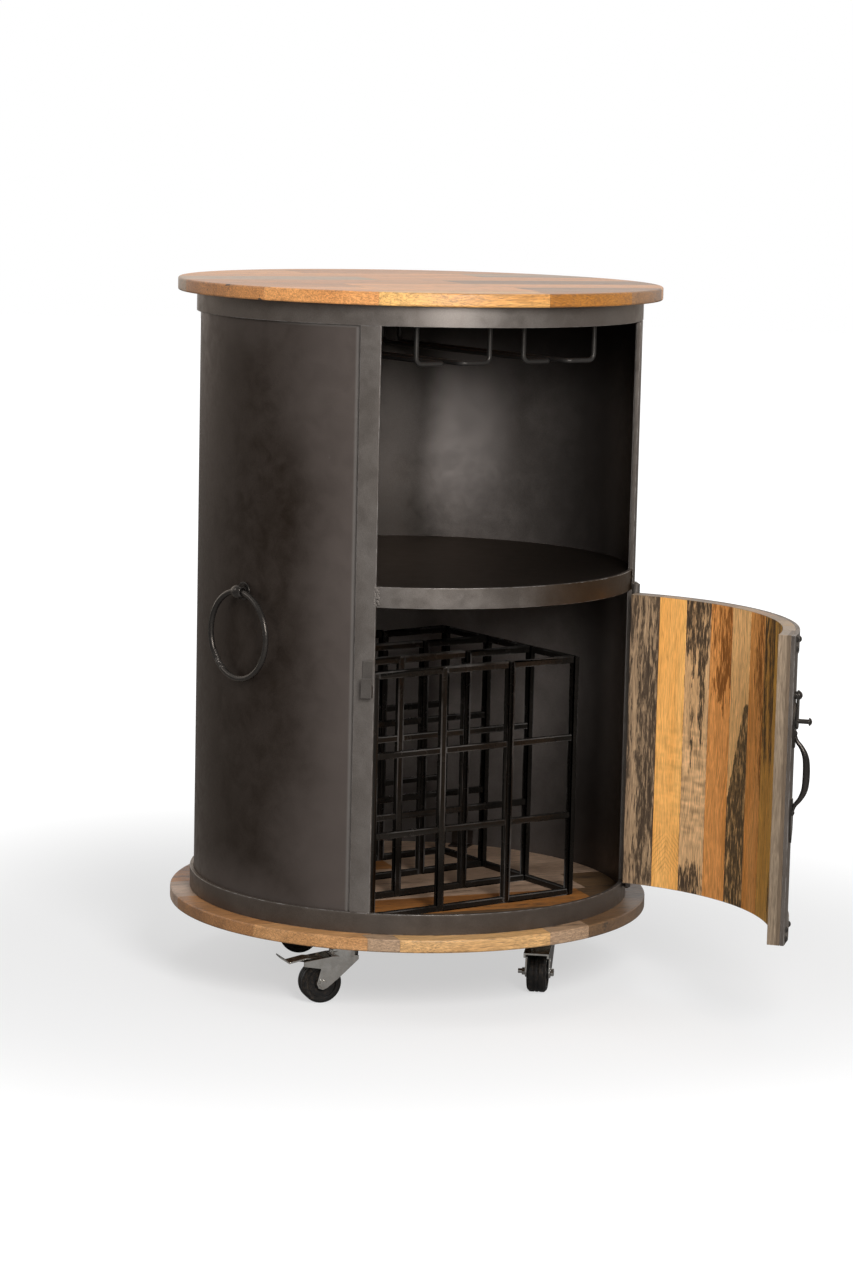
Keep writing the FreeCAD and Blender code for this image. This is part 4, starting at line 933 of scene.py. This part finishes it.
class BARREL_OT_staves(Operator):
    """Staves of the door, each with its own piece of wood"""
    bl_idname = "barrel.staves"
    bl_label = "Door staves"

    def execute(self, context):
        wood = context.scene.barrel_wood
        umber = tuple(wood.umber)
        rust = (0.24, 0.085, 0.02)
        looks = [
            dict(light=(0.45, 0.30, 0.17), mid=(0.30, 0.195, 0.115), dark=umber, streak=0.58, seed=1.0,
                 fleck=0.5,
                 patches=[(0.0, 0.04, 0.028, 0.080, 0.06), (0.2, 0.50, 0.014, 0.130, 0.16),
                          (-0.6, 0.74, 0.010, 0.060, -0.10), (0.0, 0.92, 0.030, 0.060, -0.05)]),
            dict(light=(0.98, 0.53, 0.165), mid=(0.90, 0.42, 0.105), dark=(0.30, 0.13, 0.035), streak=0.02,
                 seed=2.3, fleck=0.2, ripple=0.3, patches=[(-0.3, 0.20, 0.002, 0.010, 0.4)],
                 arches=(0.145, 0.215)),
            dict(light=(0.76, 0.46, 0.225), mid=(0.60, 0.335, 0.145), dark=umber, streak=0.30, seed=3.1,
                 ripple=0.9, patches=[(0.0, 0.05, 0.036, 0.070, 0.28), (0.4, 0.30, 0.008, 0.075, 0.24),
                                      (-0.4, 0.44, 0.006, 0.060, 0.18), (0.1, 1.0, 0.030, 0.045, 0.2)]),
            dict(light=(0.86, 0.37, 0.11), mid=(0.72, 0.28, 0.068), dark=rust, streak=0.18, seed=4.7,
                 patches=[(0.0, 0.08, 0.034, 0.105, 0.30), (0.2, 0.36, 0.020, 0.060, 0.07)]),
            dict(light=(0.92, 0.52, 0.20), mid=(0.84, 0.47, 0.19), dark=(0.10, 0.066, 0.036), streak=0.16,
                 seed=5.9, wedge=(0.388, 0.255)),
            dict(light=(0.74, 0.28, 0.062), mid=(0.82, 0.37, 0.11), dark=rust, streak=0.24, seed=6.4,
                 patches=[(0.0, 0.25, 0.034, 0.150, 0.14), (0.0, 0.85, 0.034, 0.100, -0.12)]),
            dict(light=(0.72, 0.37, 0.085), mid=(0.58, 0.28, 0.06), dark=umber, streak=0.3, seed=7.7,
                 patches=[(0.0, 0.15, 0.034, 0.170, 0.26), (0.0, 0.80, 0.034, 0.120, -0.12)]),
            dict(light=(0.78, 0.39, 0.06), mid=(0.62, 0.38, 0.15), dark=umber, streak=0.16, seed=8.2,
                 patches=[(-0.5, 0.94, 0.007, 0.050, 0.28), (0.0, 0.04, 0.034, 0.03, 0.2)]),
            dict(light=(0.42, 0.285, 0.165), mid=(0.60, 0.38, 0.20), dark=umber, streak=0.42, seed=9.5),
            dict(light=(0.28, 0.205, 0.14), mid=(0.20, 0.148, 0.10), dark=umber, streak=0.2, seed=11.8,
                 rim=(0.2665, 0.2675)),
        ]
        for node, look in zip(STAVES, looks):
            bm = joined_copy(node)
            round_edges(bm, wood.stave_edge)
            grain_attribute(bm)
            finish_piece(node + "_rounded", bm, stave_wood(node + "_wood", wood, **look), [node])
        return {"FINISHED"}


class BARREL_OT_frame_bars(Operator):
    """Hoops, stiles, shelf band, door bars, hinges and the latch's catch"""
    bl_idname = "barrel.frame_bars"
    bl_label = "Frame bars"

    def execute(self, context):
        metal = context.scene.barrel_steel
        bars = bar_finish(metal)
        for node in ("top_hoop", "bottom_hoop", "left_stile", "right_stile", "shelf_band", "door_cross_bars",
                     "door_edge_bars"):
            soften(node, metal.bar_edge, bars)
        small = steel("hinge_leaf", metal.gunmetal, (0.14, 0.13, 0.125), metal, cloud=0.4)
        for node in ("hinge_leaves_fixed", "hinge_leaves_door"):
            soften(node, metal.sheet_edge, small)
        # The catch sheet is darker than the other bars to paint the shade on its raised loop.
        catch_with_painted_shade = steel("catch_sheet", (0.082, 0.072, 0.064), (0.115, 0.104, 0.095), metal, wear=0.2)
        soften("latch_catch", metal.bar_edge, catch_with_painted_shade)
        paint("hinge_pins", small)
        return {"FINISHED"}


class BARREL_OT_drum(Operator):
    """Drum sheet, its tabs and the shelf"""
    bl_idname = "barrel.drum"
    bl_label = "Drum sheet"

    def execute(self, context):
        metal = context.scene.barrel_steel
        paint("drum_skin", drum_finish(metal))
        shelf = steel("shelf_sheet", metal.shelf, (0.022, 0.018, 0.015), metal, cloud=0.15, gloss=0.46,
                      depth=0.00002, uneven=0.15)
        soften("shelf_plate", metal.sheet_edge, shelf)
        tabs = steel("tab_sheet", metal.drum, metal.drum_pale, metal, cloud=0.3)
        soften("drum_tabs", metal.sheet_edge, tabs)
        return {"FINISHED"}


class BARREL_OT_racks(Operator):
    """Glass racks and wine rack"""
    bl_idname = "barrel.racks"
    bl_label = "Racks"

    def execute(self, context):
        metal = context.scene.barrel_steel
        wire = steel("glass_wire", metal.wire, (0.06, 0.056, 0.053), metal, cloud=0.4, gloss=0.36)
        for side in SIDES:
            paint("glass_rack_" + side, wire)
        # Its rubbed edges, long and unbroken, are partly rubbed paint and partly painted glints along the
        # rounded edges of the bars.
        black = steel("rack_paint", metal.black, (0.014, 0.012, 0.010), metal, gloss=0.22, metallic=0.0,
                      wear=0.22, wear_scale=7.0, depth=0.00003)
        for node in ["wine_grid_%d" % number for number in range(1, 5)] + ["wine_rack_rails"]:
            soften(node, metal.rack_edge, black)
        return {"FINISHED"}


class BARREL_OT_ironwork(Operator):
    """Ring handles, door handle, latch, rivets and screws"""
    bl_idname = "barrel.ironwork"
    bl_label = "Ironwork"

    def execute(self, context):
        metal = context.scene.barrel_steel
        iron = steel("forged_iron", metal.iron, (0.044, 0.040, 0.036), metal, cloud=0.6, gloss=0.22,
                     wear=0.12, depth=0.0006, shine=0.5)
        for side in SIDES:
            paint("ring_" + side, iron)
        for node in ("latch_arm", "latch_rivet"):
            soften(node, metal.bar_edge, iron, 3)
        forged_eyes(metal, iron)
        forged_handle(metal, iron)
        heads = steel("rivet_head", metal.iron, (0.08, 0.075, 0.07), metal)
        for node in ("door_rivets", "handle_screws"):
            paint(node, heads)
        return {"FINISHED"}


class BARREL_OT_castors(Operator):
    """Castor plates, forks, axles, wheels and brake pedals, and the plated screws"""
    bl_idname = "barrel.castors"
    bl_label = "Castors"

    def execute(self, context):
        metal = context.scene.barrel_steel
        zinc = zinc_finish(metal)
        rubber = rubber_finish(metal)
        forks = ["fork_" + name for name in CASTORS]
        axles = ["axle_" + name for name in CASTORS]
        for node in forks + ["castor_plates", "brake_front_left", "brake_rear_right"] + axles:
            soften(node, metal.sheet_edge, zinc)
        for name in CASTORS:
            soften("wheel_" + name, metal.rack_edge, rubber, 3)
        for node in ("castor_screws", "tab_screws"):
            paint(node, zinc)
        return {"FINISHED"}


class BARREL_OT_welds(Operator):
    """Weld patches where flat bars meet, and the weld collars of the rings"""
    bl_idname = "barrel.welds"
    bl_label = "Welds"

    def execute(self, context):
        metal = context.scene.barrel_steel
        size = metal.weld_size
        rng = random.Random(7)
        bm = bmesh.new()
        low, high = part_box("shelf_band")
        edge = math.degrees(math.atan2(high.x, -high.y))
        band_wide, hoop_wide, hoop_out = 1.5, 0.7, 0.5
        band_in, half = 0.001, 0.0012
        for side in (-1, 1):
            weld_patch(bm, side * edge, -side * band_wide, low.z + band_in, high.z - band_in, size, rng)
            start = side * (edge + hoop_out)
            for level in (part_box("top_hoop")[0].z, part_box("bottom_hoop")[1].z):
                weld_patch(bm, start, -side * hoop_wide, level - half, level + half, size, rng)
        bead = steel("weld_bead", metal.gunmetal, metal.bar_pale, metal, gloss=0.5)
        finish_piece("band_welds", bm, bead, [], "cabinet")
        collar = steel("ring_weld", metal.iron, metal.bar_pale, metal, cloud=0.35, gloss=0.3, shine=0.5)
        for side in SIDES:
            bm = bmesh.new()
            ring_weld(bm, side, rng)
            finish_piece("ring_weld_" + side, bm, collar, [], "ring_" + side)
        return {"FINISHED"}


class BARREL_OT_stage(Operator):
    """Camera, floor, lamps and surroundings"""
    bl_idname = "barrel.stage"
    bl_label = "Stage"

    def execute(self, context):
        scene = context.scene
        stage = scene.barrel_stage
        self.camera(scene, stage)
        self.floor(scene, stage)
        self.world(scene, stage)
        for name, size, spot in LAMPS:
            self.lamp(scene, name + "_light", getattr(stage, name), size, spot)
        scene.view_settings.view_transform = "Standard"
        return {"FINISHED"}

    def camera(self, scene, stage):
        data = bpy.data.cameras.new("photo_camera")
        data.lens = stage.lens
        data.sensor_width = SENSOR
        camera = bpy.data.objects.new("photo_camera", data)
        heading = stage.azimuth + stage.yaw
        ahead = Vector((math.sin(heading) * math.cos(stage.pitch), math.cos(heading) * math.cos(stage.pitch),
                        -math.sin(stage.pitch)))
        right = Vector((math.cos(heading), -math.sin(heading), 0))
        up = right.cross(ahead)
        tilted = right * math.cos(stage.roll) + up * math.sin(stage.roll)
        upright = up * math.cos(stage.roll) - right * math.sin(stage.roll)
        turn = Matrix((tilted, upright, -ahead)).transposed().to_4x4()
        away = Vector((math.sin(stage.azimuth), math.cos(stage.azimuth), 0)) * stage.distance
        camera.matrix_world = Matrix.Translation(Vector((0, 0, stage.height)) - away) @ turn
        scene.collection.objects.link(camera)
        scene.camera = camera

    def floor(self, scene, stage):
        bm = bmesh.new()
        bmesh.ops.create_circle(bm, cap_ends=True, segments=96, radius=FLOOR_RADIUS)
        mesh = bpy.data.meshes.new("studio_floor")
        bm.to_mesh(mesh)
        bm.free()
        floor = bpy.data.objects.new("studio_floor", mesh)
        scene.collection.objects.link(floor)
        material, w, inputs = shade("floor_paint", shine=0.0)
        w.feed(inputs["Base Color"], stage.floor)
        inputs["Roughness"].default_value = 0.9
        inputs["Emission Color"].default_value = (1, 1, 1, 1)
        seen = w.add("LightPath").outputs["Is Camera Ray"]
        glow = w.span(w.length(w.place()), 0.5, 1.5, 0.56, 1.0)
        w.feed(inputs["Emission Strength"], w.times(seen, glow))
        mesh.materials.append(material)

    def world(self, scene, stage):
        world = bpy.data.worlds.new("studio")
        world.use_nodes = True
        scene.world = world
        w = Wiring(world.node_tree)
        path = w.add("LightPath").outputs
        ahead = (math.sin(stage.azimuth), math.cos(stage.azimuth), 0)
        facing = w.vector("DOT_PRODUCT", w.add("TexCoord").outputs["Generated"], ahead)["Value"]
        backdrop = w.span(facing, -0.3, 0.5, stage.room, 1.0)
        mirrored = w.most(path["Is Glossy Ray"], path["Is Transmission Ray"])
        strength = w.blend(mirrored, stage.ambient, backdrop)
        background = world.node_tree.nodes["Background"].inputs
        background["Color"].default_value = (1, 1, 1, 1)
        w.feed(background["Strength"], w.most(strength, path["Is Camera Ray"]))

    def lamp(self, scene, name, power, size, spot):
        data = bpy.data.lights.new(name, "AREA")
        data.shape = "DISK"
        data.size = size
        data.energy = power
        lamp = bpy.data.objects.new(name, data)
        lamp.location = spot
        lamp.rotation_euler = (LAMP_AIM - Vector(spot)).to_track_quat("-Z", "Y").to_euler()
        scene.collection.objects.link(lamp)


class BARREL_PT_sidebar(Panel):
    """Buttons and settings of the cabinet"""
    bl_idname = "BARREL_PT_sidebar"
    bl_label = "Barrel cabinet"
    bl_space_type = "VIEW_3D"
    bl_region_type = "UI"
    bl_category = "Barrel"

    def draw(self, context):
        for operator in PIECES:
            self.layout.operator(operator.bl_idname)
        for settings in (context.scene.barrel_wood, context.scene.barrel_steel, context.scene.barrel_stage):
            box = self.layout.box()
            for name in settings.bl_rna.properties.keys():
                if name not in ("rna_type", "name"):
                    box.prop(settings, name)


PIECES = (BARREL_OT_boards, BARREL_OT_staves, BARREL_OT_frame_bars, BARREL_OT_drum, BARREL_OT_racks,
          BARREL_OT_ironwork, BARREL_OT_castors, BARREL_OT_welds, BARREL_OT_stage)
CLASSES = (BarrelWood, BarrelSteel, BarrelStage, *PIECES, BARREL_PT_sidebar)


def register():
    for item in CLASSES:
        bpy.utils.register_class(item)
    bpy.types.Scene.barrel_wood = PointerProperty(type=BarrelWood)
    bpy.types.Scene.barrel_steel = PointerProperty(type=BarrelSteel)
    bpy.types.Scene.barrel_stage = PointerProperty(type=BarrelStage)


def unregister():
    del bpy.types.Scene.barrel_stage
    del bpy.types.Scene.barrel_steel
    del bpy.types.Scene.barrel_wood
    for item in reversed(CLASSES):
        bpy.utils.unregister_class(item)


def main():
    register()
    bpy.ops.barrel.boards()
    bpy.ops.barrel.staves()
    bpy.ops.barrel.frame_bars()
    bpy.ops.barrel.drum()
    bpy.ops.barrel.racks()
    bpy.ops.barrel.ironwork()
    bpy.ops.barrel.castors()
    bpy.ops.barrel.welds()
    bpy.ops.barrel.stage()


if __name__ == "__main__":
    main()
